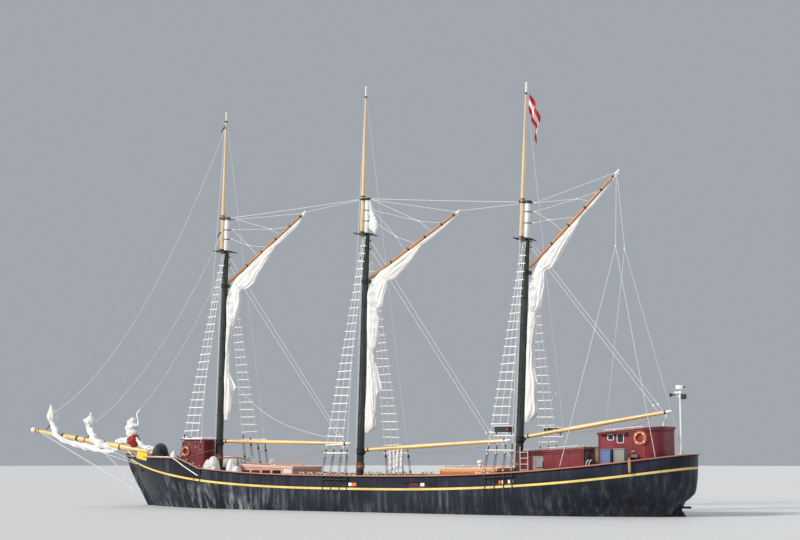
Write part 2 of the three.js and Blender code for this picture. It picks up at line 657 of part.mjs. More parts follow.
function buildShrouds(mast, side, sideName) {
  const matrix = mastMatrix(mast);
  const chainAt = (step) => {
    const x = mastX(mast, 1200) + mast.chains + step;
    return at(x, side * (skinY(x, railZ(x)) + CHAIN_OUT), railZ(x) - CHAIN_DROP);
  };
  const eyeBlock = (ahead, out, up, size) => box(
    ahead - size.half, ahead + size.half, side * out - size.deep, side * out + size.deep, up - size.high, up);
  const trees = mast.hounds - GAP;
  const head = mast.hounds + DOUBLING + TOPMAST.above - BACKSTAY_DROP;
  const houndEyes = cut(eyeBlock(0, EYE_BLOCK.out, trees, EYE_BLOCK), mastSolid(mast, GAP));
  const topEye = cut(eyeBlock(TOPMAST.ahead, TOP_EYE.out, head, TOP_EYE), topmastSolid(mast, GAP));
  const eyes = [houndEyes, topEye].map((g) => g.applyMatrix4(matrix));
  const eyeAt = (step) => mastPoint(mast, trees - EYE_BLOCK.high / 2, step * EYE_BLOCK.spread)
    .add(at(0, side * EYE_BLOCK.out, 0));
  const topEyeAt = mastPoint(mast, head - TOP_EYE.high / 2, TOPMAST.ahead)
    .add(at(0, side * TOP_EYE.out, 0));
  const lines = SHROUD_STEPS.map((step) => [chainAt(step), eyeAt(step)]);
  lines.unshift([chainAt(BACKSTAY_STEP), topEyeAt]);
  const wires = lines.map(([foot, top]) => rod(foot, top, WIRE_R));
  const poleUp = SHEER_POLE_UP + CHAIN_DROP;
  const poleAt = ([foot, top]) => foot.clone().lerp(top, poleUp / (top.z - foot.z));
  const pole = beam(poleAt(lines[0]), poleAt(lines.at(-1)), POLE_OVER, SHEER_POLE);
  const chainBar = beam(lines[0][0], lines.at(-1)[0], POLE_OVER, CHAIN_BAR);
  const seated = cut(chainBar.translate(0, -side * CHAIN_BAR.in, 0), aroundHull);
  node(`shrouds_${mast.name}_${sideName}`, join(seated, pole, ...eyes, ...wires), PAINT.wire);
}

function buildStays() {
  for (const stay of STAYS) {
    const mast = MASTS[stay.mast];
    const matrix = mastMatrix(mast);
    const foot = at(stay.at, 0, bowspritZ(stay.at));
    const head = mastPoint(mast, stay.up, stay.ahead ? TOPMAST.ahead : 0);
    const masts = [mastSolid(mast, GAP), topmastSolid(mast, GAP)].map((g) => g.applyMatrix4(matrix));
    node(stay.name, cut(rod(foot, head, WIRE_R), aroundBowsprit, ...masts), PAINT.wire);
  }
  for (const stay of BOBSTAYS) {
    const [lowX, lowZ] = stay.to;
    const wire = rod(at(stay.at, 0, bowspritZ(stay.at)), at(lowX, 0, lowZ), BOBSTAY_R, BOBSTAY_R, 6);
    node(stay.name, cut(wire, aroundBowsprit, aroundHull, aheadOfStem, aroundStem), PAINT.wire);
  }
  for (const [i, name] of [[0, 'triatic_stay_fore'], [1, 'triatic_stay_after']]) {
    const [a, b] = [MASTS[i], MASTS[i + 1]];
    const height = DOUBLING - TRIATIC.below;
    const from = mastPoint(a, a.hounds + height);
    const to = mastPoint(b, b.hounds + height, TOPMAST.ahead + TRIATIC.ahead);
    const caps = [a, b].map((mast) => capBox(mast, GAP).applyMatrix4(mastMatrix(mast)));
    node(name, cut(rod(from, to, WIRE_R), ...caps), PAINT.wire);
  }
}

// Each jib is a bunch round its stay and a roll of its foot along the bowsprit.
function buildJibs() {
  const stayRods = STAYS.map((stay) => rod(
    at(stay.at, 0, bowspritZ(stay.at)),
    mastPoint(MASTS[stay.mast], stay.up, stay.ahead ? TOPMAST.ahead : 0),
    WIRE_R + GAP,
  ));
  const above = (x) => at(x, 0, bowspritZ(x) + JIB_ROLL.up);
  for (const jib of JIBS) {
    const top = at(jib.peak[0], 0, jib.peak[1]);
    const low = at(jib.foot, 0, bowspritZ(jib.foot));
    const rows = [[0, jib.half], [0.3, jib.half * 1.05], [0.65, jib.half * 0.6], [1, JIB_PEAK_R]];
    const bunch = spar(low, top, rows, 9);
    const roll = spar(above(jib.foot - JIB_ROLL.aft), above(jib.foot + JIB_ROLL.ahead), JIB_ROLL.rows, 9);
    const cutters = [aroundBowsprit, aroundStem, aroundCapRail, ...stayRods];
    node(jib.name, cut(join(bunch, roll), ...cutters), PAINT.canvas);
  }
}

// A house's block, grown all round by `grow`; its roof line slopes from z1 forward to z0 aft.
function houseBlock(house, grow, top = 0) {
  const [x0, x1] = [house.x0 - grow, house.x1 + grow];
  const outline = [[x0, HOUSE_FOOT], [x1, HOUSE_FOOT], [x1, house.z1 + top], [x0, house.z0 + top]];
  return plate(outline, -house.half - grow, house.half + grow);
}

function buildTrunkCabins() {
  for (const cabin of TRUNK_CABINS) {
    node(cabin.name, onDeck(shellOf(cabin, houseBlock)), PAINT.cabin);
    node(`${cabin.name}_roof`, roofOf(cabin, houseBlock), PAINT.cabin);
  }
}

// The walls under a roof: the house's block, hollowed, with openings cut.
function shellOf(house, block, ...openings) {
  return cut(block(house, 0, -ROOF.thick), block(house, -WALL, CLEAR_UP), ...openings);
}

// Roof slab over a house: the house's own block, a little wider, above a sloping plane.
function roofOf(house, block) {
  const [x0, x1] = [house.x0 - CLEAR_UP, house.x1 + CLEAR_UP];
  const underZ = (x) => slopeZ(house, x) - ROOF.thick + GAP;
  const under = plate([[x0, -BEYOND], [x1, -BEYOND], [x1, underZ(x1)], [x0, underZ(x0)]], -BEYOND, BEYOND);
  return cut(block(house, ROOF.over), under);
}

function slopeZ(house, x) {
  return house.z1 + ((house.z0 - house.z1) * (house.x1 - x)) / (house.x1 - house.x0);
}

function buildDeckhouse() {
  const { hinge, wide, low, top } = DECKHOUSE_DOOR;
  const face = DECKHOUSE.half;
  const doorLow = deckTop(hinge) + low;
  const opening = box(hinge - wide, hinge, face - DOOR_CUT.in, face + DOOR_CUT.out, doorLow, top);
  const hingeY = face + HINGE_OUT;
  const knuckle = (z0, z1) => turned([[HINGE.r, z0], [HINGE.r, z1]], 12).translate(hinge, hingeY, 0);
  const lower = [doorLow + HINGE.up, doorLow + HINGE.up + HINGE.lug];
  const upper = [lower[1] + BEARING, lower[1] + HINGE.lug];
  const wallArm = box(hinge, hinge + HINGE.arm, face - HINGE.sunk, hingeY, ...lower);
  const walls = shellOf(DECKHOUSE, houseBlock, opening);
  node('deckhouse_walls', onDeck(join(walls, knuckle(...lower), wallArm)), PAINT.red);
  node('deckhouse_roof', roofOf(DECKHOUSE, houseBlock), PAINT.red);
  const leaf = box(hinge - wide + PLAY, hinge - PLAY, face - WALL, face, doorLow + PLAY, top - PLAY);
  const leafArm = box(hinge - HINGE.arm, hinge - PLAY, face - HINGE.sunk, hingeY, ...upper);
  node('deckhouse_door', join(leaf, knuckle(...upper), leafArm), PAINT.white);
}

// The wheelhouse in plan has rounded after corners.
function wheelhouseBlock(house, grow, top = 0) {
  const [x0, x1, y, r] = [house.x0 - grow, house.x1 + grow, house.half + grow, house.corner + grow];
  const shape = new THREE.Shape();
  shape.moveTo(x1, -y);
  shape.lineTo(x1, y);
  shape.lineTo(x0 + r, y);
  shape.absarc(x0 + r, y - r, r, 90 * DEG, 180 * DEG);
  shape.absarc(x0 + r, r - y, r, 180 * DEG, 270 * DEG);
  const column = new THREE.ExtrudeGeometry(shape, { depth: BEYOND, bevelEnabled: false, curveSegments: 5 });
  const [aft, ahead] = [house.x0 - CLEAR_UP, house.x1 + CLEAR_UP];
  const above = plate([
    [aft, slopeZ(house, aft) + top], [ahead, slopeZ(house, ahead) + top],
    [ahead, 2 * BEYOND], [aft, 2 * BEYOND],
  ], -BEYOND, BEYOND);
  return cut(column.translate(0, 0, HOUSE_FOOT), above);
}

function buildWheelhouse() {
  const { hingeY, wide, low, high } = WHEELHOUSE_DOOR;
  const face = WHEELHOUSE.x1;
  const doorLow = deckTop(face) + low;
  const doorTop = doorLow + high;
  const opening = box(face - DOOR_CUT.in, face + DOOR_CUT.out, hingeY - wide, hingeY, doorLow, doorTop);
  const hingeX = face + HINGE_OUT;
  const knuckle = (z0, z1) => turned([[HINGE.r, z0], [HINGE.r, z1]], 12).translate(hingeX, hingeY, 0);
  const lower = [doorLow + HINGE.up, doorLow + HINGE.up + HINGE.lug];
  const upper = [lower[1] + BEARING, lower[1] + HINGE.lug];
  const wallArm = box(face - HINGE.sunk, hingeX, hingeY, hingeY + HINGE.arm, ...lower);
  const walls = shellOf(WHEELHOUSE, wheelhouseBlock, opening);
  node('wheelhouse_walls', onDeck(join(walls, knuckle(...lower), wallArm)), PAINT.red);
  node('wheelhouse_roof', roofOf(WHEELHOUSE, wheelhouseBlock), PAINT.red);
  const leaf = box(face - WALL, face, hingeY - wide + PLAY, hingeY - PLAY, doorLow + PLAY, doorTop - PLAY);
  const leafArm = box(face - HINGE.sunk, hingeX, hingeY - HINGE.arm, hingeY - PLAY, ...upper);
  node('wheelhouse_door', join(leaf, knuckle(...upper), leafArm), PAINT.red);
}

function buildDeckGear() {
  const inner = houseBlock(FORE_HOUSE, -WALL, -WALL);
  node('fore_house', onDeck(cut(houseBlock(FORE_HOUSE, 0), inner.translate(0, 0, -WALL))), PAINT.red);
  const { x0, x1, axisX, axisZ, low, top, cheekIn, cheekOut } = WINDLASS;
  const drum = (half, r) => spar(at(axisX, -half, axisZ), at(axisX, half, axisZ), [[0, r], [1, r]], 12);
  const cheeks = [box(x0, x1, -cheekOut, -cheekIn, low, top), box(x0, x1, cheekIn, cheekOut, low, top)];
  const drums = [drum(WINDLASS.warpingHalf, WINDLASS.warpingR), drum(WINDLASS.drumHalf, WINDLASS.drumR)];
  node('windlass', onDeck(join(...cheeks, ...drums)), PAINT.iron);
  const { x, r0, r1, drumR, drumZ } = STERN_POLE;
  const upright = spar(at(x, 0, STERN_POLE.low), at(x, 0, STERN_POLE.top), [[0, r0], [1, r1]], 10);
  const { aft, ahead, half, z0, z1 } = POLE_ARM;
  const arm = box(x - aft, x + ahead, -half, half, z0, z1);
  const aerial = spar(at(x, 0, drumZ[0]), at(x, 0, drumZ[1]), [[0, drumR], [1, drumR]], 14);
  node('stern_pole', onDeck(join(upright, arm, aerial)), PAINT.white);
}

buildHull();
buildBulwark();
buildDeck();
buildCapRail();
buildRudder();
buildPropeller();
buildBowsprit();
for (const mast of MASTS) {
  buildMast(mast);
  buildBoom(mast);
  buildGaff(mast);
  buildSail(mast);
  buildShrouds(mast, 1, 'port');
  buildShrouds(mast, -1, 'starboard');
}
buildStays();
buildJibs();
buildTrunkCabins();
buildDeckhouse();
buildWheelhouse();
buildDeckGear();

export default ship;
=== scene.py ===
"""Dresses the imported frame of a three-masted gaff schooner, a model at half the real size.

Metres of the model: +X forward, +Y to port, +Z up, the waterline at Z = 0.
Every surface is a function of two parameters on a grid, or a profile carried along a path.
"""

import math

import bmesh
import bpy
import numpy as np
from bpy.props import FloatProperty, FloatVectorProperty, IntProperty, PointerProperty
from bpy.types import Operator, Panel, PropertyGroup
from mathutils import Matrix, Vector


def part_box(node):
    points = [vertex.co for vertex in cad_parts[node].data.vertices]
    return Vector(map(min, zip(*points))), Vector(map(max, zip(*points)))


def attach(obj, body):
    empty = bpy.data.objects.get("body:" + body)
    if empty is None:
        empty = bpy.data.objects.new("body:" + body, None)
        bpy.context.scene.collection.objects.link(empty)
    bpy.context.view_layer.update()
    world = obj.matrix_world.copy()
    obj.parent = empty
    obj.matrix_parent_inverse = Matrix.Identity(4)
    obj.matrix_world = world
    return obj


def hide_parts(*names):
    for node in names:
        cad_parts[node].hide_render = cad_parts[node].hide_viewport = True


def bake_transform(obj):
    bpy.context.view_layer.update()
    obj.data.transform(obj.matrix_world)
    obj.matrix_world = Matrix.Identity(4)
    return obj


bl_info = {
    "name": "Gaff schooner dressing",
    "version": (1, 0, 0),
    "blender": (4, 5, 0),
    "location": "3D View > Sidebar > Schooner",
    "description": "Builds the hull, spars, sails, rigging and deck gear of a gaff schooner",
    "category": "Add Mesh",
}

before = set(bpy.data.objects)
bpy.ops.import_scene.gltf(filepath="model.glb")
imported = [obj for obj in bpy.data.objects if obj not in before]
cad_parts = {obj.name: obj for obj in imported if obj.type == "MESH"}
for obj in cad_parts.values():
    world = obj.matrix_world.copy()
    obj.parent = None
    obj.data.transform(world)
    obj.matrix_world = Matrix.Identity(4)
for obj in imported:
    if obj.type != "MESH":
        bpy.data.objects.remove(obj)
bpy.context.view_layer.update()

# Hull form, as in the frame's own solids.
STERN_X, STEM_X = -11.690, 8.230
AFT_TAPER_X, FORE_TAPER_X = -4.500, 2.400
PLAN_TIP_X = STEM_X + 0.07
STERN_POWERS, BOW_POWER = (4.6, 2.1), 2.6
SHEER_LOW_X, SHEER_LOW_Z = -2.200, 0.678
# Rise of the sheer line towards each end: its height, its reach and the power that it grows by.
SHEER_AFT, SHEER_FORE = (0.632, 9.45, 2.3), (0.842, 10.09, 2.85)
FOREDECK_X, FOREDECK_Z, FOREDECK_RISE = 5.4, 1.053, 0.147
DECK_THICK = 0.0303
BULWARK_H, BULWARK_T = 0.358, 0.040
FORECASTLE_X, FORECASTLE_Z, FORECASTLE_SLOPE = 4.81, 1.545, 0.018
RAMP_X, RAMP_LONG = 3.9, 0.91
BODY_BOTTOM = np.array([
    [-11.69, 0.85], [-11.62, 0.60], [-11.45, 0.46], [-11.28, 0.35], [-11.15, 0.10], [-11.10, 0.0],
    [-10.90, -0.15], [-10.50, -0.35], [-10.0, -0.54], [-9.0, -0.82], [-8.0, -1.0], [-7.0, -1.11],
    [-6.0, -1.18], [-4.0, -1.23], [0.0, -1.22], [3.0, -1.17], [4.7, -1.06], [5.7, -0.88],
    [6.4, -0.62], [6.85, -0.33], [7.18, 0.0], [7.45, 0.425], [7.735, 0.82], [7.96, 1.15],
    [8.21, 1.495], [8.29, 1.60],
])
FULLNESS = np.array([
    [-11.69, 2.2], [-10.5, 1.75], [-9.5, 1.8], [-8.0, 2.2], [-6.5, 2.7], [-4.0, 3.1],
    [1.5, 3.0], [3.5, 2.4], [5.0, 1.75], [6.0, 1.4], [7.0, 1.18], [8.23, 1.05],
])
STATIONS = np.array([
    -11.69, -11.68, -11.64, -11.56, -11.42, -11.25, -11.0, -10.6, -10.1, -9.4, -8.5, -7.5,
    -6.0, -4.0, -1.5, 1.0, 2.4, 3.3, 3.9, 4.4, 4.81, 5.4, 6.0, 6.6, 7.1, 7.5, 7.85, 8.1, 8.225,
])
FREEING_PORTS = ((-1.970, -1.670), (-4.275, -3.710), (-7.100, -6.575))

# Masts: x on the waterline plane, rake, heights of hounds, boom, gaff and sheer pole, chain plates' offset.
MASTS = {
    "fore": dict(x=4.492, rake=0.0262, hounds=8.266, boom=2.106, gaff=7.160, chains=-0.070, pole=2.170),
    "main": dict(x=-0.897, rake=0.0308, hounds=8.465, boom=1.807, gaff=7.005, chains=-0.135, pole=1.720),
    "mizzen": dict(x=-6.288, rake=0.0474, hounds=7.933, boom=2.162, gaff=6.966, chains=-0.138, pole=1.800),
}
BOOM_END = {"fore": (-0.600, 2.010), "main": (-6.110, 2.094), "mizzen": (-11.045, 2.870)}
GAFF_END = {"fore": (1.130, 9.385), "main": (-4.460, 8.985), "mizzen": (-9.615, 9.745)}
MAST_RADII = (0.118, 0.096)
MASTHEAD_RADIUS = 0.078
DOUBLING = 1.164
TOPMAST_AHEAD = 0.178
TOPMAST_UP = 3.500
BACKSTAY_DROP = 0.260
PLAY = 0.006
BOWSPRIT_HEEL = np.array([6.900, 0.0, 1.684])
BOWSPRIT_TIP = np.array([12.565, 0.0, 2.515])
SIDES = {"port": 1.0, "starboard": -1.0}


# Formulas of the hull, for whole arrays of stations


def rise(away, high, reach, power):
    return high * (np.clip(away, 0, None) / reach) ** power


def sheer_z(x):
    """Sheer line: its lowest height plus a rise that grows with a power of the distance from there."""
    x = np.asarray(x, float)
    return SHEER_LOW_Z + rise(SHEER_LOW_X - x, *SHEER_AFT) + rise(x - SHEER_LOW_X, *SHEER_FORE)


def deck_z(x):
    """Deck edge: the sheer line, and forward of the foredeck's break a straight slope to the stem."""
    x = np.asarray(x, float)
    raised = FOREDECK_Z + FOREDECK_RISE * (x - FOREDECK_X) / (STEM_X - FOREDECK_X)
    return np.where(x < FOREDECK_X, sheer_z(x), raised)


def rail_z(x):
    """Top of the bulwark: a fixed height over the sheer, then a ramp up to the forecastle's rail."""
    x = np.asarray(x, float)
    raised = FORECASTLE_Z + (x - FORECASTLE_X) * FORECASTLE_SLOPE
    plain = sheer_z(x) + BULWARK_H
    ramp = np.clip((x - RAMP_X) / RAMP_LONG, 0, 1)
    return np.where(x >= FORECASTLE_X, raised, plain + (raised - plain) * ramp)


def deck_top(x):
    return deck_z(x) + DECK_THICK


def plan_half(x):
    """Half breadth at the rail: a full round stern, a parallel waist and a pointed bow."""
    x = np.asarray(x, float)
    aft = np.clip((AFT_TAPER_X - x) / (AFT_TAPER_X - STERN_X), 0, 1)
    fore = np.clip((x - FORE_TAPER_X) / (PLAN_TIP_X - FORE_TAPER_X), 0, 1)
    end, root = STERN_POWERS
    return hull_sizes().half_beam * (1 - aft**end) ** (1 / root) * (1 - fore**BOW_POWER)


def bottom_z(x):
    """Height of the hull's lowest line, from the keel up the stem and the counter."""
    return np.interp(x, BODY_BOTTOM[:, 0], BODY_BOTTOM[:, 1])


def skin_y(x, z):
    """Half breadth at a station and height: the plan's half breadth times a super-ellipse in height."""
    low = bottom_z(x)
    power = np.interp(x, FULLNESS[:, 0], FULLNESS[:, 1])
    share = np.clip((z - low) / (rail_z(x) - low), 0, 1)
    return plan_half(x) * (1 - (1 - share) ** power) ** (1 / power)


def spread(table, count):
    """Values evenly spaced by index along a short table, so that they keep its spacing."""
    at = np.linspace(0, len(table) - 1, count)
    return np.interp(at, np.arange(len(table)), table)


# Meshes from arrays


def unit(v):
    v = np.asarray(v, float)
    return v / np.maximum(np.linalg.norm(v, axis=-1, keepdims=True), 1e-12)


def smooth_path(points, count):
    """Catmull-Rom curve through the points: a cubic blend of four neighbours, sampled evenly by index."""
    p = np.asarray(points, float)
    p = np.concatenate([2 * p[:1] - p[1:2], p, 2 * p[-1:] - p[-2:-1]])
    at = np.linspace(0, len(p) - 3 - 1e-9, count)
    i = at.astype(int)
    t = (at - i)[:, None]
    a, b, c, d = p[i], p[i + 1], p[i + 2], p[i + 3]
    square, cube = 2 * a - 5 * b + 4 * c - d, 3 * b - a - 3 * c + d
    return 0.5 * (2 * b + (c - a) * t + square * t**2 + cube * t**3)


def sagging(start, end, sag, count=20):
    """Parabola between two points that hangs by `sag` at its middle."""
    t = np.linspace(0, 1, count)[:, None]
    line = (1 - t) * np.asarray(start, float) + t * np.asarray(end, float)
    line[:, 2] -= 4 * sag * (t * (1 - t))[:, 0]
    return line


def across_axes(path):
    """Two unit axes at right angles to each point of a path, from the world axis it leans on least."""
    along = unit(np.gradient(path, axis=0))
    least = np.eye(3)[np.argmin(np.abs(along).max(0))]
    first = unit(np.cross(along, least))
    return first, np.cross(along, first)


def rings(path, radius, sides=8, phase=0.0):
    """Circles round each point of a path: centre plus radius times cosine and sine along two axes."""
    path = np.asarray(path, float)
    first, second = across_axes(path)
    turn = phase + np.arange(sides) * 2 * math.pi / sides
    r = np.broadcast_to(np.asarray(radius, float), (len(path),))[:, None, None]
    swing = np.cos(turn)[:, None] * first[:, None] + np.sin(turn)[:, None] * second[:, None]
    return path[:, None] + r * swing


def section_along(path, section, side, up):
    """A flat closed section, rows of (sideways, upward), carried along a path on two given axes."""
    s = np.asarray(section, float)
    return path[:, None] + s[None, :, :1] * side[:, None] + s[None, :, 1:] * up[:, None]


def lathe(rows, sides=24):
    """Circles about Z whose radius and height come from rows of (radius, height)."""
    rows = np.asarray(rows, float)
    turn = np.arange(sides) * 2 * math.pi / sides
    ring = np.stack([np.cos(turn), np.sin(turn)], -1)
    flat = rows[:, :1, None] * ring[None]
    return np.concatenate([flat, np.broadcast_to(rows[:, 1:, None], flat.shape[:2] + (1,))], -1)


def block(size, chamfer=0.15):
    """A box of the given size about the origin with its edges cut off, as five rings up its height."""
    hx, hy, hz = np.asarray(size, float) / 2
    c = min(hx, hy, hz) * 2 * chamfer
    outline = np.array([
        [hx - c, -hy], [hx, c - hy], [hx, hy - c], [hx - c, hy],
        [c - hx, hy], [-hx, hy - c], [-hx, c - hy], [c - hx, -hy],
    ])
    inner = outline * [(hx - c) / hx, (hy - c) / hy]
    flats = [(inner, -hz), (outline, c - hz), (outline, hz - c), (inner, hz)]
    return np.array([[[x, y, z] for x, y in ring] for ring, z in flats])


def turned_to(points, direction, centre=(0, 0, 0), roll=None):
    """Points whose +Z is turned to a direction and whose origin goes to a centre."""
    z = unit(direction)
    ref = np.array(roll if roll is not None else (0, 0, 1) if abs(z[2]) < 0.9 else (1, 0, 0), float)
    x = unit(ref - z * ref.dot(z))
    axes = np.stack([x, np.cross(z, x), z])
    return points @ axes + np.asarray(centre, float)


class Pile:
    """Gathers grids of points and makes one mesh object of them."""

    def __init__(self):
        self.points, self.faces, self.uvs, self.slots, self.count = [], [], [], [], 0

    def grid(self, points, wrap=True, caps=(True, True), slot=0, uv=None):
        """Quads over a grid of rows; wrap closes each row, and caps fill the first and last rows."""
        n, m = points.shape[:2]
        rows, cols = np.meshgrid(np.arange(n - 1), np.arange(m if wrap else m - 1), indexing="ij")
        right = (cols + 1) % m
        quads = np.stack(
            [rows * m + cols, rows * m + right, (rows + 1) * m + right, (rows + 1) * m + cols], -1)
        if uv is None:
            steps = np.linalg.norm(np.diff(points, axis=0), axis=-1).mean(1)
            along = np.concatenate([[0], np.cumsum(steps)])
            girth = np.linalg.norm(points - np.roll(points, -1, 1), axis=-1).sum(1).max() / m
            u = np.broadcast_to(np.arange(m + 1) * girth, (n, m + 1))
            uv = np.stack([u, np.broadcast_to(along[:, None], (n, m + 1))], -1)
        corners = np.stack(
            [uv[rows, cols], uv[rows, cols + 1], uv[rows + 1, cols + 1], uv[rows + 1, cols]], -2)
        self.points.append(points.reshape(-1, 3))
        self.faces += (quads.reshape(-1, 4) + self.count).tolist()
        self.uvs.append(corners.reshape(-1, 2))
        made = quads.shape[0] * quads.shape[1]
        for on, row, order in ((caps[0], 0, -1), (caps[1], n - 1, 1)):
            if wrap and on:
                self.faces.append((np.arange(m)[::order] + row * m + self.count).tolist())
                self.uvs.append(uv[row, np.arange(m)[::order]].reshape(-1, 2))
                made += 1
        self.slots += [slot] * made
        self.count += n * m
        return self

    def tube(self, path, radius, sides=8, slot=0, caps=(True, True)):
        return self.grid(rings(path, radius, sides), caps=caps, slot=slot)

    def rod(self, start, end, radius, sides=8, slot=0):
        return self.tube(np.array([start, end], float), radius, sides, slot)

    def ball(self, centre, radius, stretch=(1, 1, 1), slot=0, sides=12):
        """A globe of latitude rings, stretched along the axes."""
        lat = np.linspace(-math.pi / 2, math.pi / 2, sides // 2 + 2)[1:-1]
        rows = np.stack([np.cos(lat), np.sin(lat)], -1) * radius
        return self.grid(lathe(rows, sides) * np.array(stretch) + np.asarray(centre, float), slot=slot)

    def box(self, low, high, slot=0, chamfer=0.08):
        low, high = np.asarray(low, float), np.asarray(high, float)
        return self.grid(block(high - low, chamfer) + (low + high) / 2, slot=slot)

    def side_box(self, sign, low, high, slot=0, chamfer=0.08):
        """A box given for the port side, put on the side of that sign."""
        near, far = sorted((sign * low[1], sign * high[1]))
        return self.box((low[0], near, low[2]), (high[0], far, high[2]), slot, chamfer)

    def torus(self, centre, axis, ring, thick, slot=0, around=32, sides=10, share=1.0, start=0.0):
        """A ring of round section: circles of radius `thick` about a circle of radius `ring`."""
        turn = start + np.linspace(0, 2 * math.pi * share, around, endpoint=share < 1)
        arm = np.stack([np.cos(turn), np.sin(turn), 0 * turn], -1)
        tilt = np.arange(sides) * 2 * math.pi / sides
        flat = arm[:, None] * (ring + thick * np.cos(tilt))[None, :, None]
        flat = flat + np.array([0, 0, 1.0]) * (thick * np.sin(tilt))[None, :, None]
        grid = turned_to(flat, axis, centre)
        if share < 1:
            return self.grid(grid[:, ::-1], slot=slot)
        return self.grid(np.concatenate([grid, grid[:1]])[:, ::-1], caps=(False, False), slot=slot)

    def make(self, name, looks, body="root", replaces=(), slot=None, angle=40, weld=0.0, thick=0.0):
        """One object at the origin from all that was gathered."""
        mesh = bpy.data.meshes.new(name)
        mesh.from_pydata(np.concatenate(self.points).tolist(), [], self.faces)
        layer = mesh.uv_layers.new(name="UVMap")
        layer.data.foreach_set("uv", np.concatenate(self.uvs).ravel())
        mesh.polygons.foreach_set("material_index", np.array(self.slots, np.int32))
        for look in looks if isinstance(looks, (list, tuple)) else [looks]:
            mesh.materials.append(look)
        if weld:
            joined(mesh, weld)
        mesh.polygons.foreach_set("use_smooth", np.ones(len(mesh.polygons), bool))
        mesh.set_sharp_from_angle(angle=math.radians(angle))
        mesh.update()
        piece = bpy.data.objects.new(name, mesh)
        bpy.context.scene.collection.objects.link(piece)
        if thick:
            shell = piece.modifiers.new("Thickness", "SOLIDIFY")
            shell.thickness, shell.offset = thick, -1.0
        if body:
            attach(piece, body)
        if replaces:
            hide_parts(*replaces)
        return piece


def joined(mesh, distance):
    """Merges points that lie closer than a distance, and drops faces that this flattens."""
    work = bmesh.new()
    work.from_mesh(mesh)
    bmesh.ops.remove_doubles(work, verts=work.verts, dist=distance)
    bmesh.ops.dissolve_degenerate(work, edges=work.edges, dist=distance / 10)
    work.to_mesh(mesh)
    work.free()


# Materials


class Finish:
    """A node material: a Principled shader with noise, streaks and bump worked out from coordinates."""

    def __init__(self, name, roughness=0.5, metallic=0.0, coords="Object", **sockets):
        self.material = bpy.data.materials.new(name)
        self.material.use_nodes = True
        self.tree = self.material.node_tree
        self.shader = self.tree.nodes["Principled BSDF"]
        self.shader.inputs["Roughness"].default_value = roughness
        self.shader.inputs["Metallic"].default_value = metallic
        for key, value in sockets.items():
            self.shader.inputs[key.replace("_", " ")].default_value = value
        self.where = self.node("TexCoord").outputs[coords]
        self.height = None

    def node(self, kind, **inputs):
        made = self.tree.nodes.new("ShaderNode" + kind)
        for key, value in inputs.items():
            self.set(made.inputs[key.replace("_", " ")], value)
        return made

    def set(self, socket, value):
        if isinstance(value, bpy.types.NodeSocket):
            self.tree.links.new(value, socket)
        elif isinstance(value, (tuple, list)) and len(value) == 3 and socket.type == "RGBA":
            socket.default_value = (*value, 1.0)
        else:
            socket.default_value = value

    def spot(self, scale):
        """Coordinates stretched along their axes."""
        return self.node("Mapping", Vector=self.where, Scale=scale).outputs["Vector"]

    def noise(self, scale, stretch=(1, 1, 1), detail=4.0, roughness=0.55, distortion=0.0):
        made = self.node(
            "TexNoise", Vector=self.spot(stretch), Scale=scale, Detail=detail, Roughness=roughness,
            Distortion=distortion)
        return made.outputs["Fac"]

    def wave(self, scale, axis, distortion=0.0, detail=2.0, stretch=(1, 1, 1)):
        made = self.node(
            "TexWave", Vector=self.spot(stretch), Scale=scale, Distortion=distortion, Detail=detail)
        made.bands_direction = axis
        return made.outputs["Fac"]

    def axis(self, name):
        return self.node("SeparateXYZ", Vector=self.where).outputs[name]

    def math(self, operation, first, second=0.0, clamp=False):
        made = self.node("Math")
        made.operation = operation
        made.use_clamp = clamp
        for socket, value in zip(made.inputs, (first, second)):
            self.set(socket, value)
        return made.outputs[0]

    def times(self, first, second, clamp=False):
        return self.math("MULTIPLY", first, second, clamp=clamp)

    def off_half(self, value):
        """How far a value's fraction lies from one half: greatest at each whole number."""
        return self.math("ABSOLUTE", self.math("SUBTRACT", self.math("FRACT", value), 0.5))

    def within(self, value, low, high, to_low=0.0, to_high=1.0):
        """A value brought from one range into another, smoothly and clamped."""
        made = self.node("MapRange", Value=value)
        made.interpolation_type = "SMOOTHSTEP"
        made.inputs["From Min"].default_value = low
        made.inputs["From Max"].default_value = high
        made.inputs["To Min"].default_value = to_low
        made.inputs["To Max"].default_value = to_high
        return made.outputs["Result"]

    def mix(self, share, first, second):
        made = self.node("Mix")
        made.data_type = "RGBA"
        self.set(made.inputs["Factor"], share)
        self.set(made.inputs[6], first)
        self.set(made.inputs[7], second)
        return made.outputs[2]

    def colour(self, value):
        self.set(self.shader.inputs["Base Color"], value)
        return self

    def rough(self, value):
        self.set(self.shader.inputs["Roughness"], value)
        return self

    def bump(self, height, depth=0.001, strength=1.0):
        """Adds one layer of bump; depth is in metres."""
        made = self.node("Bump", Height=height, Distance=depth, Strength=strength)
        if self.height is not None:
            self.tree.links.new(self.height, made.inputs["Normal"])
        self.height = made.outputs["Normal"]
        self.tree.links.new(self.height, self.shader.inputs["Normal"])
        return self


FINISHES = {}
GRIME = (0.09, 0.075, 0.06)


def colour_of(value):
    """A colour given as it is, as the name of a setting, or as that name and a factor."""
    if isinstance(value, str):
        return getattr(ship_colours(), value)[:]
    if isinstance(value[0], str):
        return shade(colour_of(value[0]), value[1])
    return value


def finish(name):
    """The material of that name, made once."""
    if name not in FINISHES:
        maker, *values = FINISH_TABLE[name]
        made = maker(name, colour_of(values[0]), *values[1:]) if values else maker()
        FINISHES[name] = made.material
    return FINISHES[name]


def finishes(*names):
    return [finish(name) for name in names]


def shade(colour, factor):
    return tuple(min(1.0, c * factor) for c in colour)


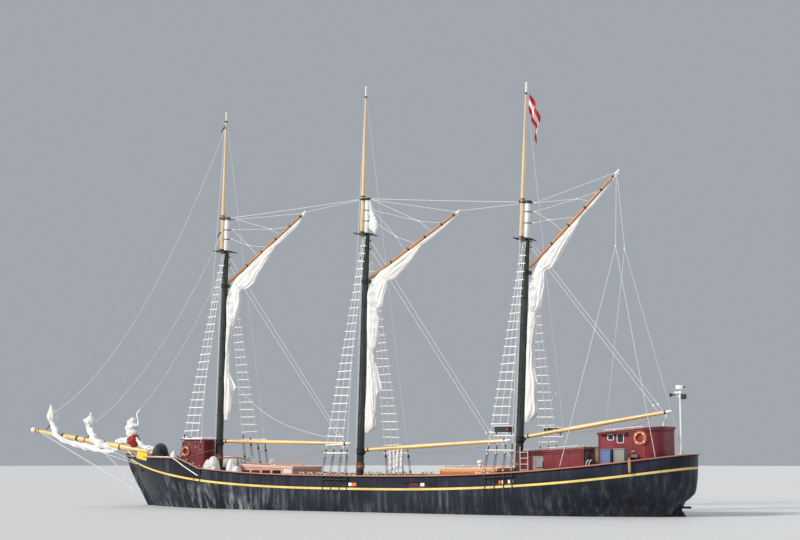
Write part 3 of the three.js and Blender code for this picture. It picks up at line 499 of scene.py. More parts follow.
def hull_finish(name, colour, streaks):
    """Black paint under runs of salt: noise stretched tall, strongest forward, and fouling low down."""
    f = Finish(name, roughness=0.42, Specular_IOR_Level=0.22)
    runs = f.noise(1.0, (6.0, 6.0, 0.42), detail=8, roughness=0.66, distortion=0.3)
    fine = f.noise(1.0, (26.0, 26.0, 1.6), detail=5, roughness=0.6)
    blotches = f.noise(1.0, (0.9, 0.9, 1.4), detail=4)
    forward = f.within(f.axis("X"), 0.0, 3.0, 0.24, 1.0)
    bow = f.within(f.axis("X"), 5.2, 6.3, 1.0, 0.35)
    low = f.within(f.axis("Z"), 1.05, 0.15, 0.55, 1.0)
    mask = f.times(f.within(runs, 0.45, 0.68), f.within(fine, 0.3, 0.62, 0.4, 1.0))
    mask = f.times(mask, f.within(blotches, 0.32, 0.62, 0.25, 1.0))
    mask = f.times(f.times(mask, forward), f.times(bow, low))
    mask = f.times(mask, streaks, clamp=True)
    base = f.mix(f.within(blotches, 0.3, 0.7), colour, shade(colour, 2.1))
    worn = f.mix(mask, base, ship_colours().salt[:])
    rust = f.times(f.within(f.axis("X"), -9.0, -11.3), f.within(f.axis("Z"), 0.42, 0.05))
    rust = f.times(rust, f.within(f.noise(2.2, (1, 1, 0.6), detail=6), 0.42, 0.7), clamp=True)
    worn = f.mix(rust, worn, (0.055, 0.022, 0.014))
    growth = f.within(f.math("ADD", f.axis("Z"), f.noise(5.0, (1, 1, 0.3))), 0.40, 0.31)
    f.colour(f.mix(growth, worn, ship_colours().antifouling[:]))
    f.rough(f.within(f.math("ADD", mask, fine), 0.2, 1.2, 0.3, 0.72))
    f.bump(f.noise(1.1, (1, 1, 0.8), detail=2), 0.006, 0.5)
    f.bump(f.noise(60.0, detail=3), 0.0006, 0.35)
    return f


def painted(name, colour, roughness=0.45, dirt=0.35, wear=0.25, grime=GRIME, coat=0.0):
    """Brush paint: broad fading, dirt that runs down, and fine brush marks."""
    f = Finish(name, roughness=roughness, Coat_Weight=coat)
    broad = f.noise(1.3, detail=3)
    runs = f.noise(1.0, (22, 22, 1.8), detail=5, roughness=0.6)
    base = f.mix(f.within(broad, 0.3, 0.7), shade(colour, 0.86), shade(colour, 1.08))
    mask = f.times(f.within(runs, 0.5, 0.78), dirt, clamp=True)
    chips = f.times(f.within(f.noise(38, detail=4, roughness=0.7), 0.66, 0.72), wear)
    f.colour(f.mix(chips, f.mix(mask, base, grime), shade(colour, 0.5)))
    f.rough(f.within(f.math("ADD", broad, mask), 0.3, 1.0, roughness * 0.8, min(1.0, roughness * 1.45)))
    f.bump(f.noise(9.0, (1, 1, 0.5), detail=3), 0.0012, 0.3)
    f.bump(f.noise(120.0, (1, 1, 0.15), detail=2), 0.0002, 0.3)
    return f


def timber(name, colour, dark, roughness=0.4, coat=0.0, solid=False):
    """Wood: rings are a wave drawn out along the piece's length, or along X on a solid, under dark fibres."""
    f = Finish(name, roughness, coords="Object" if solid else "UV", Coat_Weight=coat, Coat_Roughness=0.18)
    grain = f.wave(9.0, "Z" if solid else "X", 7.0, 3.0, (0.08, 1, 1) if solid else (1, 0.08, 1))
    fibre = f.noise(1.0, (3.0, 90, 90) if solid else (90, 3.0, 1), detail=5, roughness=0.65)
    broad = f.noise(1.0, (0.6, 1.5, 1.5) if solid else (1.5, 0.6, 1), detail=2)
    base = f.mix(f.within(grain, 0.1, 0.9), colour, shade(colour, 0.72))
    base = f.mix(f.within(fibre, 0.52, 0.8, 0.0, 0.75), base, dark)
    f.colour(f.mix(f.within(broad, 0.35, 0.65, 0.0, 0.5), base, shade(colour, 1.25)))
    f.rough(f.within(fibre, 0.2, 0.8, roughness * 0.8, roughness * 1.4))
    f.bump(fibre, 0.0006, 0.35)
    return f


def planking():
    """Deck planks: a saw wave across the ship gives each seam, and noise per plank its own tone."""
    colour = ship_colours().deck[:]
    f = Finish("deck_planks", roughness=0.75)
    width = deck_sizes().plank_width
    across = f.math("DIVIDE", f.axis("Y"), width)
    seam = f.within(f.off_half(across), 0.44, 0.475)
    plank = f.math("FLOOR", across)
    butt_shift = f.times(plank, 0.37)
    lengthwise = f.math("ADD", f.math("DIVIDE", f.axis("X"), 2.4), butt_shift)
    seam = f.math("MAXIMUM", seam, f.within(f.off_half(lengthwise), 0.497, 0.4985))
    key = f.node("CombineXYZ", X=plank, Y=f.math("FLOOR", lengthwise)).outputs[0]
    tone = f.node("TexWhiteNoise", Vector=key).outputs["Value"]
    fibre = f.noise(1.0, (2.0, 120, 20), detail=5)
    base = f.mix(tone, shade(colour, 0.78), shade(colour, 1.18))
    base = f.mix(f.within(fibre, 0.45, 0.8, 0.0, 0.5), base, shade(colour, 0.55))
    worn = f.mix(f.within(f.noise(0.8, detail=5), 0.5, 0.75, 0.0, 0.5), base, (0.2, 0.19, 0.18))
    f.colour(f.mix(seam, worn, (0.012, 0.011, 0.01)))
    f.bump(f.math("SUBTRACT", 1.0, seam), 0.003, 0.8)
    f.bump(fibre, 0.0006, 0.5)
    return f


def cloth(name, colour, dirt, weave=900.0, seams=0.0):
    """Sailcloth: two crossed thread waves, soft creases with painted shade in them, stains, and a sewn seam
    at each panel's edge.
    """
    f = Finish(name, roughness=0.88, coords="UV", Sheen_Weight=0.25, Sheen_Roughness=0.5)
    warp, weft = f.wave(weave, "X"), f.wave(weave, "Y")
    stains = f.noise(1.0, (2.2, 1.1, 1), detail=5, roughness=0.6)
    creases = f.noise(1.0, (14, 1.6, 1), detail=5, distortion=0.6)
    base = f.mix(f.within(stains, 0.42, 0.72, 0.0, 0.75), colour, dirt)
    # The creases are painted darker with a shade of the dirt colour: painted shade in the creases.
    base = f.mix(f.within(creases, 0.55, 0.85, 0.0, 0.35), base, shade(dirt, 0.8))
    if seams:
        panel = f.math("DIVIDE", f.axis("X"), seams)
        line = f.within(f.off_half(panel), 0.47, 0.49)
        base = f.mix(f.times(line, 0.4), base, shade(dirt, 0.7))
        f.bump(line, 0.001, 0.6)
    f.colour(base)
    f.bump(f.math("ADD", warp, weft), 0.00035, 0.35)
    f.bump(creases, 0.006, 0.55)
    return f


def rope(name, colour, dirt, strands=26.0):
    """Laid rope: a wave that runs round and along together gives the strands, with painted shade in the
    grooves between them.
    """
    f = Finish(name, roughness=0.85, coords="UV", Sheen_Weight=0.15)
    lay = f.wave(strands, "DIAGONAL")
    fuzz = f.noise(1.0, (60, 30, 1), detail=3)
    # The lay wave paints the grooves between the strands darker: painted shade between the strands.
    base = f.mix(f.within(lay, 0.2, 0.9), shade(colour, 0.62), colour)
    f.colour(f.mix(f.within(fuzz, 0.5, 0.85, 0.0, 0.5), base, dirt))
    f.bump(lay, 0.002, 0.8)
    f.bump(fuzz, 0.0005, 0.4)
    return f


def steel(name, colour, roughness=0.45, rust=0.3, metallic=0.6):
    """Galvanised or blackened steel with spangle and spots of rust."""
    f = Finish(name, roughness=roughness, metallic=metallic)
    spangle = f.noise(55, detail=3)
    spots = f.within(f.noise(7.0, detail=6, roughness=0.7), 0.6, 0.7)
    base = f.mix(f.within(spangle, 0.3, 0.7), shade(colour, 0.8), shade(colour, 1.15))
    f.colour(f.mix(f.times(spots, rust), base, (0.16, 0.055, 0.02)))
    f.rough(f.within(spangle, 0.2, 0.8, roughness * 0.8, roughness * 1.3))
    f.bump(spangle, 0.0003, 0.3)
    return f


def glazing():
    """Dark window glass, a little uneven, with dust in it."""
    f = Finish("window_glass", roughness=0.08, Specular_IOR_Level=0.7, Coat_Weight=0.4)
    dust = f.within(f.noise(12, detail=5), 0.45, 0.8, 0.0, 0.5)
    f.colour(f.mix(dust, (0.012, 0.015, 0.018), (0.09, 0.1, 0.11)))
    f.rough(f.within(dust, 0, 0.5, 0.05, 0.35))
    f.bump(f.noise(2.5, detail=1), 0.002, 0.25)
    return f


def bunting():
    """Flag cloth in three level bands, red, white and red, by its UV height."""
    f = Finish("flag_cloth", roughness=0.8, coords="UV", Sheen_Weight=0.2)
    band = f.math("ABSOLUTE", f.math("SUBTRACT", f.axis("Y"), 0.5))
    white = f.within(band, 0.18, 0.15)
    weave = f.wave(400, "X")
    stain = f.noise(1.0, (3, 3, 1), detail=4)
    red = f.mix(f.within(stain, 0.3, 0.7), (0.42, 0.015, 0.02), (0.62, 0.03, 0.035))
    f.colour(f.mix(white, red, (0.78, 0.77, 0.74)))
    f.bump(weave, 0.0004, 0.3)
    return f


# Each finish: its maker, its colour and what else the maker takes.
FINISH_TABLE = {
    "topside_paint": (hull_finish, "topside", 1.7),
    "bulwark_paint": (hull_finish, "bulwark", 0.7),
    "inner_bulwark": (painted, (0.62, 0.6, 0.54), 0.5, 0.5, 0.5),
    "stripe_paint": (painted, "stripe", 0.45, 0.3, 0.35),
    "deck_planks": (planking,),
    "rail_wood": (timber, "rail", (0.10, 0.035, 0.018), 0.42, 0.3),
    "trunk_roof_paint": (painted, "trunk_roof", 0.5, 0.3, 0.15),
    "mast_paint": (painted, "mast", 0.38, 0.25, 0.3, (0.2, 0.2, 0.19)),
    "white_paint": (painted, "white", 0.38, 0.35, 0.15, (0.4, 0.36, 0.3)),
    "topmast_wood": (timber, "topmast", (0.34, 0.18, 0.07), 0.36, 0.4),
    "boom_wood": (timber, "boom", (0.36, 0.16, 0.04), 0.36, 0.4),
    "gaff_wood": (timber, "gaff", (0.13, 0.04, 0.015), 0.32, 0.5),
    "cabin_wood": (timber, "cabin", (0.12, 0.03, 0.012), 0.35, 0.45),
    "roof_wood": (timber, "cabin_roof", (0.38, 0.16, 0.06), 0.5, 0.1),
    "cabin_wood_solid": (timber, "cabin", (0.12, 0.03, 0.012), 0.35, 0.45, True),
    "roof_wood_solid": (timber, "cabin_roof", (0.38, 0.16, 0.06), 0.5, 0.1, True),
    "rose_paint": (painted, "trunk", 0.5, 0.4, 0.3),
    "house_paint": (painted, "house", 0.42, 0.35, 0.2, (0.05, 0.02, 0.02)),
    "dark_red_paint": (painted, ("house", 0.45), 0.5),
    "grey_paint": (painted, (0.27, 0.27, 0.25), 0.5, 0.4, 0.3),
    "blue_paint": (painted, (0.12, 0.18, 0.36), 0.5, 0.4, 0.3),
    "orange_paint": (painted, (0.85, 0.2, 0.03), 0.45, 0.3, 0.3),
    "name_board": (painted, (0.8, 0.58, 0.05), 0.4, 0.3, 0.2),
    "lamp_green": (painted, (0.02, 0.2, 0.1), 0.25, 0.1, 0.0, GRIME, 0.6),
    "lamp_red": (painted, (0.4, 0.01, 0.01), 0.25, 0.1, 0.0, GRIME, 0.6),
    "iron": (steel, (0.03, 0.032, 0.034), 0.5, 0.35, 0.5),
    "galvanised": (steel, (0.72, 0.74, 0.76), 0.5, 0.06, 0.25),
    "weathered_wire": (steel, (0.44, 0.47, 0.51), 0.6, 0.06, 0.25),
    "bronze": (steel, (0.5, 0.33, 0.12), 0.35, 0.0, 0.9),
    "sailcloth": (cloth, "sail", (0.56, 0.54, 0.5), 900.0, 0.3),
    "dark_canvas": (cloth, (0.022, 0.026, 0.032), (0.06, 0.06, 0.062), 500.0),
    "red_canvas": (cloth, (0.42, 0.03, 0.03), (0.2, 0.02, 0.02), 500.0),
    "white_rope": (rope, (0.82, 0.82, 0.8), (0.56, 0.54, 0.5)),
    "tan_rope": (rope, (0.46, 0.34, 0.18), (0.2, 0.14, 0.08)),
    "dark_rope": (rope, (0.06, 0.06, 0.06), (0.02, 0.02, 0.02)),
    "window_glass": (glazing,),
    "flag_cloth": (bunting,),
}


# Settings that a user would change


def length(name, text, default, high=30.0):
    return FloatProperty(
        name=name, description=text, default=default, min=0.0, max=high, unit="LENGTH", precision=4)


def tint(name, text, default):
    return FloatVectorProperty(
        name=name, description=text, default=default, size=3, min=0, max=1, subtype="COLOR")


def number(name, text, default, low, high):
    return IntProperty(name=name, description=text, default=default, min=low, max=high)


class SchoonerColours(PropertyGroup):
    topside: tint("Topside paint", "Hull below the sheer stripe", (0.007, 0.010, 0.016))
    bulwark: tint("Bulwark paint", "Band above the sheer stripe", (0.008, 0.009, 0.018))
    salt: tint("Salt and chalk", "Runs down the topsides", (0.25, 0.27, 0.29))
    antifouling: tint("Antifouling", "Paint below the waterline", (0.10, 0.024, 0.016))
    stripe: tint("Sheer stripe", "Yellow line along the hull", (0.80, 0.60, 0.17))
    rail: tint("Cap rail", "Varnished rail", (0.50, 0.21, 0.12))
    deck: tint("Deck", "Weathered planks", (0.30, 0.205, 0.125))
    mast: tint("Lower masts", "Dark green-black paint", (0.014, 0.024, 0.020))
    white: tint("White paint", "Mast heads, ratline battens and fittings", (0.80, 0.80, 0.79))
    topmast: tint("Topmasts", "Pale varnished spars", (0.74, 0.54, 0.27))
    boom: tint("Booms", "Buff spars", (0.80, 0.53, 0.20))
    gaff: tint("Gaffs", "Reddish varnished spars", (0.47, 0.20, 0.065))
    sail: tint("Sails", "Bleached sailcloth", (0.83, 0.83, 0.82))
    house: tint("Deckhouses", "Deep red paint", (0.205, 0.013, 0.020))
    cabin: tint("Main trunk cabin", "Varnished sides", (0.50, 0.13, 0.035))
    cabin_roof: tint("Trunk cabin roofs", "Pale timber", (0.82, 0.45, 0.20))
    trunk_roof: tint("Fore trunk roof", "Bleached pink paint", (0.80, 0.55, 0.46))
    trunk: tint("Fore trunk cabin", "Faded rose paint", (0.72, 0.36, 0.26))


class SchoonerHull(PropertyGroup):
    half_beam: length("Half beam", "Half the greatest breadth at the rail", 1.850)
    stripe_high: length("Stripe height", "Width of the sheer stripe", 0.062)
    stripe_proud: length("Stripe thickness", "How far the stripe stands out", 0.008)
    rail_out: length("Rail overhang", "Cap rail outside the bulwark", 0.014)
    rail_in: length("Rail lip", "Cap rail inside the bulwark", 0.030)
    rail_thick: length("Rail thickness", "Height of the cap rail", 0.034)
    stem_half: length("Stem half width", "Half the width of stem and keel", 0.060)


class SchoonerDeck(PropertyGroup):
    plank_width: length("Plank width", "Width of one deck plank", 0.062)
    stanchion_step: length("Stanchion step", "Spacing of the bulwark's frames", 0.62)


class SchoonerRig(PropertyGroup):
    wire: length("Wire radius", "Shrouds and stays", 0.0095)
    line: length("Line radius", "Halyards, lifts and vangs", 0.0085)
    batten_step: length("Batten step", "Spacing of the ratline battens", 0.245)
    batten_high: length("Batten height", "Height of a ratline batten", 0.030)
    deadeye: length("Deadeye radius", "Radius of a deadeye", 0.040)
    block: length("Block length", "Length of a halyard block", 0.105)


class SchoonerSails(PropertyGroup):
    folds: number("Folds", "Folds inside a brailed sail", 6, 1, 20)
    around: number("Points round", "Grid columns of a brailed sail's skin", 96, 24, 300)
    along: number("Rows", "Grid rows along a brailed sail", 260, 40, 600)


class SchoonerStage(PropertyGroup):
    lens: FloatProperty(
        name="Lens", description="Focal length of the camera", default=70.33, min=10, max=300, unit="CAMERA")
    key: FloatProperty(
        name="Key light", description="Strength of the key light", default=3.4, min=0, max=50)
    surround: FloatProperty(
        name="Surround", description="Strength of the pale surroundings", default=0.46, min=0, max=10)
    floor_radius: length("Floor radius", "Radius of the floor", 160.0, high=500.0)


# Operators, one for each group of like pieces


def ship_colours():
    return bpy.context.scene.schooner_colours


def hull_sizes():
    return bpy.context.scene.schooner_hull


def deck_sizes():
    return bpy.context.scene.schooner_deck


class SchoonerBuilder:
    """What every step shares: it builds, and an error stops the script."""

    bl_options = {"REGISTER", "UNDO"}

    def execute(self, context):
        """Builds this group of pieces."""
        self.build(context.scene)
        return {"FINISHED"}


def both_sides(points):
    """Port points run from bow to stern, then starboard ones back to the bow, sharing the sternmost row."""
    mirrored = points[::-1][1:] * np.array([1.0, -1.0, 1.0])
    return np.concatenate([points, mirrored])


def plan_path(x, z):
    """Points on the skin from the bow down the port side and back up the starboard side."""
    side = np.stack([x, skin_y(x, z), z], -1)
    side[-1, 1] = 0.0
    return both_sides(side)


def outward(path):
    """Level unit normals of a plan path, pointing away from the ship."""
    along = np.gradient(path, axis=0)
    return unit(np.stack([along[:, 1], -along[:, 0], 0 * along[:, 0]], -1)) * -1.0


def level_section(path, section, side):
    """A section carried along a path with its second axis upright."""
    return section_along(path, section, side, np.broadcast_to([0.0, 0.0, 1.0], path.shape))


class SCHOONER_OT_hull(SchoonerBuilder, Operator):
    """Hull skin, stem and keel, bulwark and its frames"""

    bl_idname = "schooner.hull"
    bl_label = "Hull"

    def build(self, scene):
        self.skin()
        self.backbone(scene)
        self.bulwark()
        self.frames(scene)

    def skin(self):
        """Each station is a super-ellipse from the keel to the deck edge, mirrored and closed by the deck."""
        x = spread(STATIONS, 190)
        x = x[deck_z(x) - bottom_z(x) > 0.03]
        share = np.linspace(0, 1, 30) ** 1.5
        low = bottom_z(x)
        z = low[:, None] + (deck_z(x) - low)[:, None] * share
        y = skin_y(x[:, None], z)
        port = np.stack([np.broadcast_to(x[:, None], z.shape), y, z], -1)
        other = port[:, :0:-1] * np.array([1.0, -1.0, 1.0])
        pile = Pile()
        pile.grid(np.concatenate([port, other], 1)[::-1])
        pile.make(
            "hull_skin", finish("topside_paint"), replaces=["hull"], slot="hull_paint", weld=2e-4, angle=50)

    def backbone(self, scene):
        """Stem, keel and stern post: a rounded bar carried along the outline in side view."""
        outer = np.array([
            [8.345, 1.70], [8.13, 1.18], [7.90, 0.82], [7.61, 0.40], [7.33, -0.04], [6.98, -0.42],
            [6.48, -0.74], [5.7, -1.01], [4.6, -1.21], [2.0, -1.31], [0.0, -1.40], [-4.0, -1.45],
            [-8.0, -1.50], [-11.33, -1.52],
        ])
        inner = np.array([
            [8.08, 1.70], [7.86, 1.18], [7.62, 0.82], [7.30, 0.38], [6.95, -0.05], [6.55, -0.38],
            [6.0, -0.62], [5.2, -0.82], [4.2, -0.95], [2.0, -1.02], [0.0, -1.05], [-4.0, -1.08],
            [-8.0, -0.95], [-10.96, -1.37],
        ])
        rows = 110
        front, back = (
            np.stack([spread(line[:, 0], rows), np.zeros(rows), spread(line[:, 1], rows)], -1)
            for line in (outer, inner))
        half = scene.schooner_hull.stem_half
        turn = np.linspace(-math.pi / 2, math.pi / 2, 9)
        depth = np.concatenate([[0.0], 0.84 + 0.16 * np.cos(turn), [0.0]])
        wide = np.concatenate([[-half], half * np.sin(turn), [half]])
        grid = back[:, None] + (front - back)[:, None] * depth[None, :, None]
        grid[:, :, 1] = wide
        pile = Pile()
        pile.grid(grid)
        boxes = ((-11.02, -10.96, -1.44, 0.04), (-10.98, -10.3, -0.36, -0.1), (-11.33, -10.9, -1.52, -1.44))
        for x0, x1, z0, z1 in boxes:
            pile.box((x0, -half, z0), (x1, half, z1), chamfer=0.1)
        pile.make("stem_and_keel", finish("topside_paint"), slot="hull_paint", angle=50)

    def bulwark(self):
        """The hull's skin carried on up to the rail, left open at the freeing ports and given a thickness."""
        edges = np.array(FREEING_PORTS).ravel()
        x = np.unique(np.concatenate([spread(STATIONS, 170), edges]))[::-1]
        low = np.maximum(deck_z(x), bottom_z(x))
        deck = deck_top(x)
        lines = np.stack([low, np.maximum(low + 0.01, deck + 0.05), np.maximum(low + 0.02, deck + 0.15)], -1)
        top = rail_z(x)
        lines = np.minimum(lines, (top - 0.02)[:, None])
        rest = lines[:, -1:] + (top[:, None] - lines[:, -1:]) * np.linspace(0, 1, 6)[1:]
        z = np.concatenate([lines, rest], 1)
        side = np.stack([np.broadcast_to(x[:, None], z.shape), skin_y(x[:, None], z), z], -1)
        side[-1, :, 1] = 0.0
        grid = both_sides(side)
        pile = Pile()
        pile.grid(grid[:, ::-1], wrap=False)
        middle = (grid[:-1, 0, 0] + grid[1:, 0, 0]) / 2
        columns = grid.shape[1] - 1
        keep = np.ones((len(middle), columns), bool)
        for aft, fore in FREEING_PORTS:
            keep[(middle > aft) & (middle < fore), columns - 2] = False
        keep = keep.ravel()
        pile.faces = [face for face, kept in zip(pile.faces, keep) if kept]
        pile.uvs = [pile.uvs[0].reshape(-1, 4, 2)[keep].reshape(-1, 2)]
        pile.slots = [slot for slot, kept in zip(pile.slots, keep) if kept]
        pile.make(
            "bulwark_skin", finish("bulwark_paint"), replaces=["bulwark"], slot="hull_paint",
            angle=50, weld=1e-5, thick=BULWARK_T)

    def frames(self, scene):
        """White inner planking and the frames that stand against it, clear of the skin at every height."""
        section = ((-0.02, 0.0), (-0.02, 0.05), (-0.014, 0.06), (0.014, 0.06), (0.02, 0.05), (0.02, 0.0))
        x = spread(STATIONS, 150)[6:-10][::-1]
        x = x[x < 7.2]
        share = np.linspace(0, 1, 5)
        low, high = deck_top(x) + 0.17, rail_z(x) - 0.01
        z = low[:, None] + (high - low)[:, None] * share
        y = skin_y(x[:, None], z) - BULWARK_T - 0.006
        pile = Pile()
        for sign in SIDES.values():
            wall = np.stack([np.broadcast_to(x[:, None], z.shape), sign * y, z], -1)
            back = wall - np.array([0, sign * 0.012, 0])
            ring = np.concatenate([wall, back[:, ::-1]], 1)
            pile.grid(ring if sign > 0 else ring[:, ::-1])
            for place in np.arange(-10.6, 6.0, scene.schooner_deck.stanchion_step):
                if any(aft - 0.05 < place < fore + 0.05 for aft, fore in FREEING_PORTS):
                    continue
                up = np.linspace(float(deck_top(place)), float(rail_z(place)) - 0.005, 5)
                out = skin_y(np.full(5, place), up) - BULWARK_T - 0.012
                grid = np.stack([
                    np.stack([np.full(5, place + fore), sign * (out - deep), up], -1)
                    for fore, deep in section
                ], 1)
                pile.grid(grid[:, ::-1] if sign > 0 else grid)
        pile.make("bulwark_frames", finish("inner_bulwark"), slot="white_paint")


class SCHOONER_OT_rail(SchoonerBuilder, Operator):
    """Cap rail and yellow sheer stripe"""

    bl_idname = "schooner.rail"
    bl_label = "Rail and stripe"

    def build(self, scene):
        sizes = scene.schooner_hull
        x = spread(STATIONS, 220)[:-3][::-1]
        path = plan_path(x, rail_z(x))
        out, inner, thick = sizes.rail_out, BULWARK_T + sizes.rail_in, sizes.rail_thick
        r = thick * 0.3
        section = [
            (out - r, 0.001), (out, r), (out, thick - r), (out - r, thick),
            (r - inner, thick), (-inner, thick - r), (-inner, r), (r - inner, 0.001),
        ]
        pile = Pile()
        pile.grid(level_section(path, section, outward(path)))
        pile.make("rail_cap", finish("rail_wood"), replaces=["cap_rail"], slot="rail_wood", angle=30)

        fore_end = 7.89
        x = np.concatenate([[fore_end], spread(STATIONS, 220)[::-1]])
        x = np.unique(x[x <= fore_end])[::-1]
        path = plan_path(x, sheer_z(x))
        high, proud = sizes.stripe_high / 2, sizes.stripe_proud
        section = [(-0.006, -high), (proud, -high * 0.9), (proud, high * 0.9), (-0.006, high)]
        pile = Pile()
        pile.grid(level_section(path, section, outward(path)))
        pile.make("sheer_stripe", finish("stripe_paint"), slot="white_paint", angle=30)


# Places on the masts


def mast_axes(mast):
    """A mast's own upward and forward directions, leaning aft by its rake."""
    lean = mast["rake"]
    return np.array([-math.sin(lean), 0, math.cos(lean)]), np.array([math.cos(lean), 0, math.sin(lean)])


def mast_point(mast, up, ahead=0.0, side=0.0):
    upward, forward = mast_axes(mast)
    return np.array([mast["x"], side, 0.0]) + upward * up + forward * ahead


def in_mast(mast, x, z):
    """How far ahead of and up along a mast a point of the centre plane lies."""
    upward, forward = mast_axes(mast)
    offset = np.array([x - mast["x"], 0, z])
    return float(offset @ forward), float(offset @ upward)


def mast_radius(mast, up):
    foot, head = MAST_RADII
    return foot + (head - foot) * up / mast["hounds"]


def backstay_up(mast):
    """How far up the mast's line its backstays are made fast to the topmast."""
    return mast["hounds"] + DOUBLING + TOPMAST_UP - BACKSTAY_DROP


def raised(radius, low, high, proud, edge):
    """Profile of a raised band on a spar: it stands out within `edge` of both its ends."""
    out = radius + proud
    return [(radius, low), (out, low + edge), (out, high - edge), (radius, high)]


def on_mast(mast, points, ahead=0.0, side=0.0):
    """Points about Z moved into a mast's leaning frame."""
    upward, forward = mast_axes(mast)
    axes = np.stack([forward, [0.0, 1.0, 0.0], upward])
    return (points + np.array([ahead, side, 0.0])) @ axes + np.array([mast["x"], 0.0, 0.0])


def spar_ends(mast, up, end, butt):
    """Both ends of a spar that stands off its mast far enough for its slope."""
    tip_ahead, tip_up = in_mast(mast, *end)
    slope = math.atan2(tip_up - up, -tip_ahead)
    ahead = -mast_radius(mast, up) - PLAY - 0.008 - butt * abs(math.sin(slope))
    start = mast_point(mast, up + math.tan(slope) * -ahead, ahead)
    return start, mast_point(mast, tip_up, tip_ahead)


def tapered(start, end, rows, count=28):
    """A path between two points and its radius, straight between rows of (share, radius)."""
    t = np.unique(np.concatenate([np.linspace(0, 1, count), [row[0] for row in rows]]))
    path = start + (end - start) * t[:, None]
    return path, np.interp(t, [row[0] for row in rows], [row[1] for row in rows])


def point_on(start, end, share):
    return start + (end - start) * share


def band(pile, start, end, share, radius, wide, slot):
    """An iron band with rounded edges round a spar at a share of its length."""
    middle = point_on(start, end, share)
    along = unit(end - start)
    rows = [(-0.5, 0.0), (-0.36, 1.0), (0.36, 1.0), (0.5, 0.0)]
    path = np.array([middle + along * wide * t for t, _ in rows])
    pile.tube(path, [radius + 0.008 * lift for _, lift in rows], 20, slot)


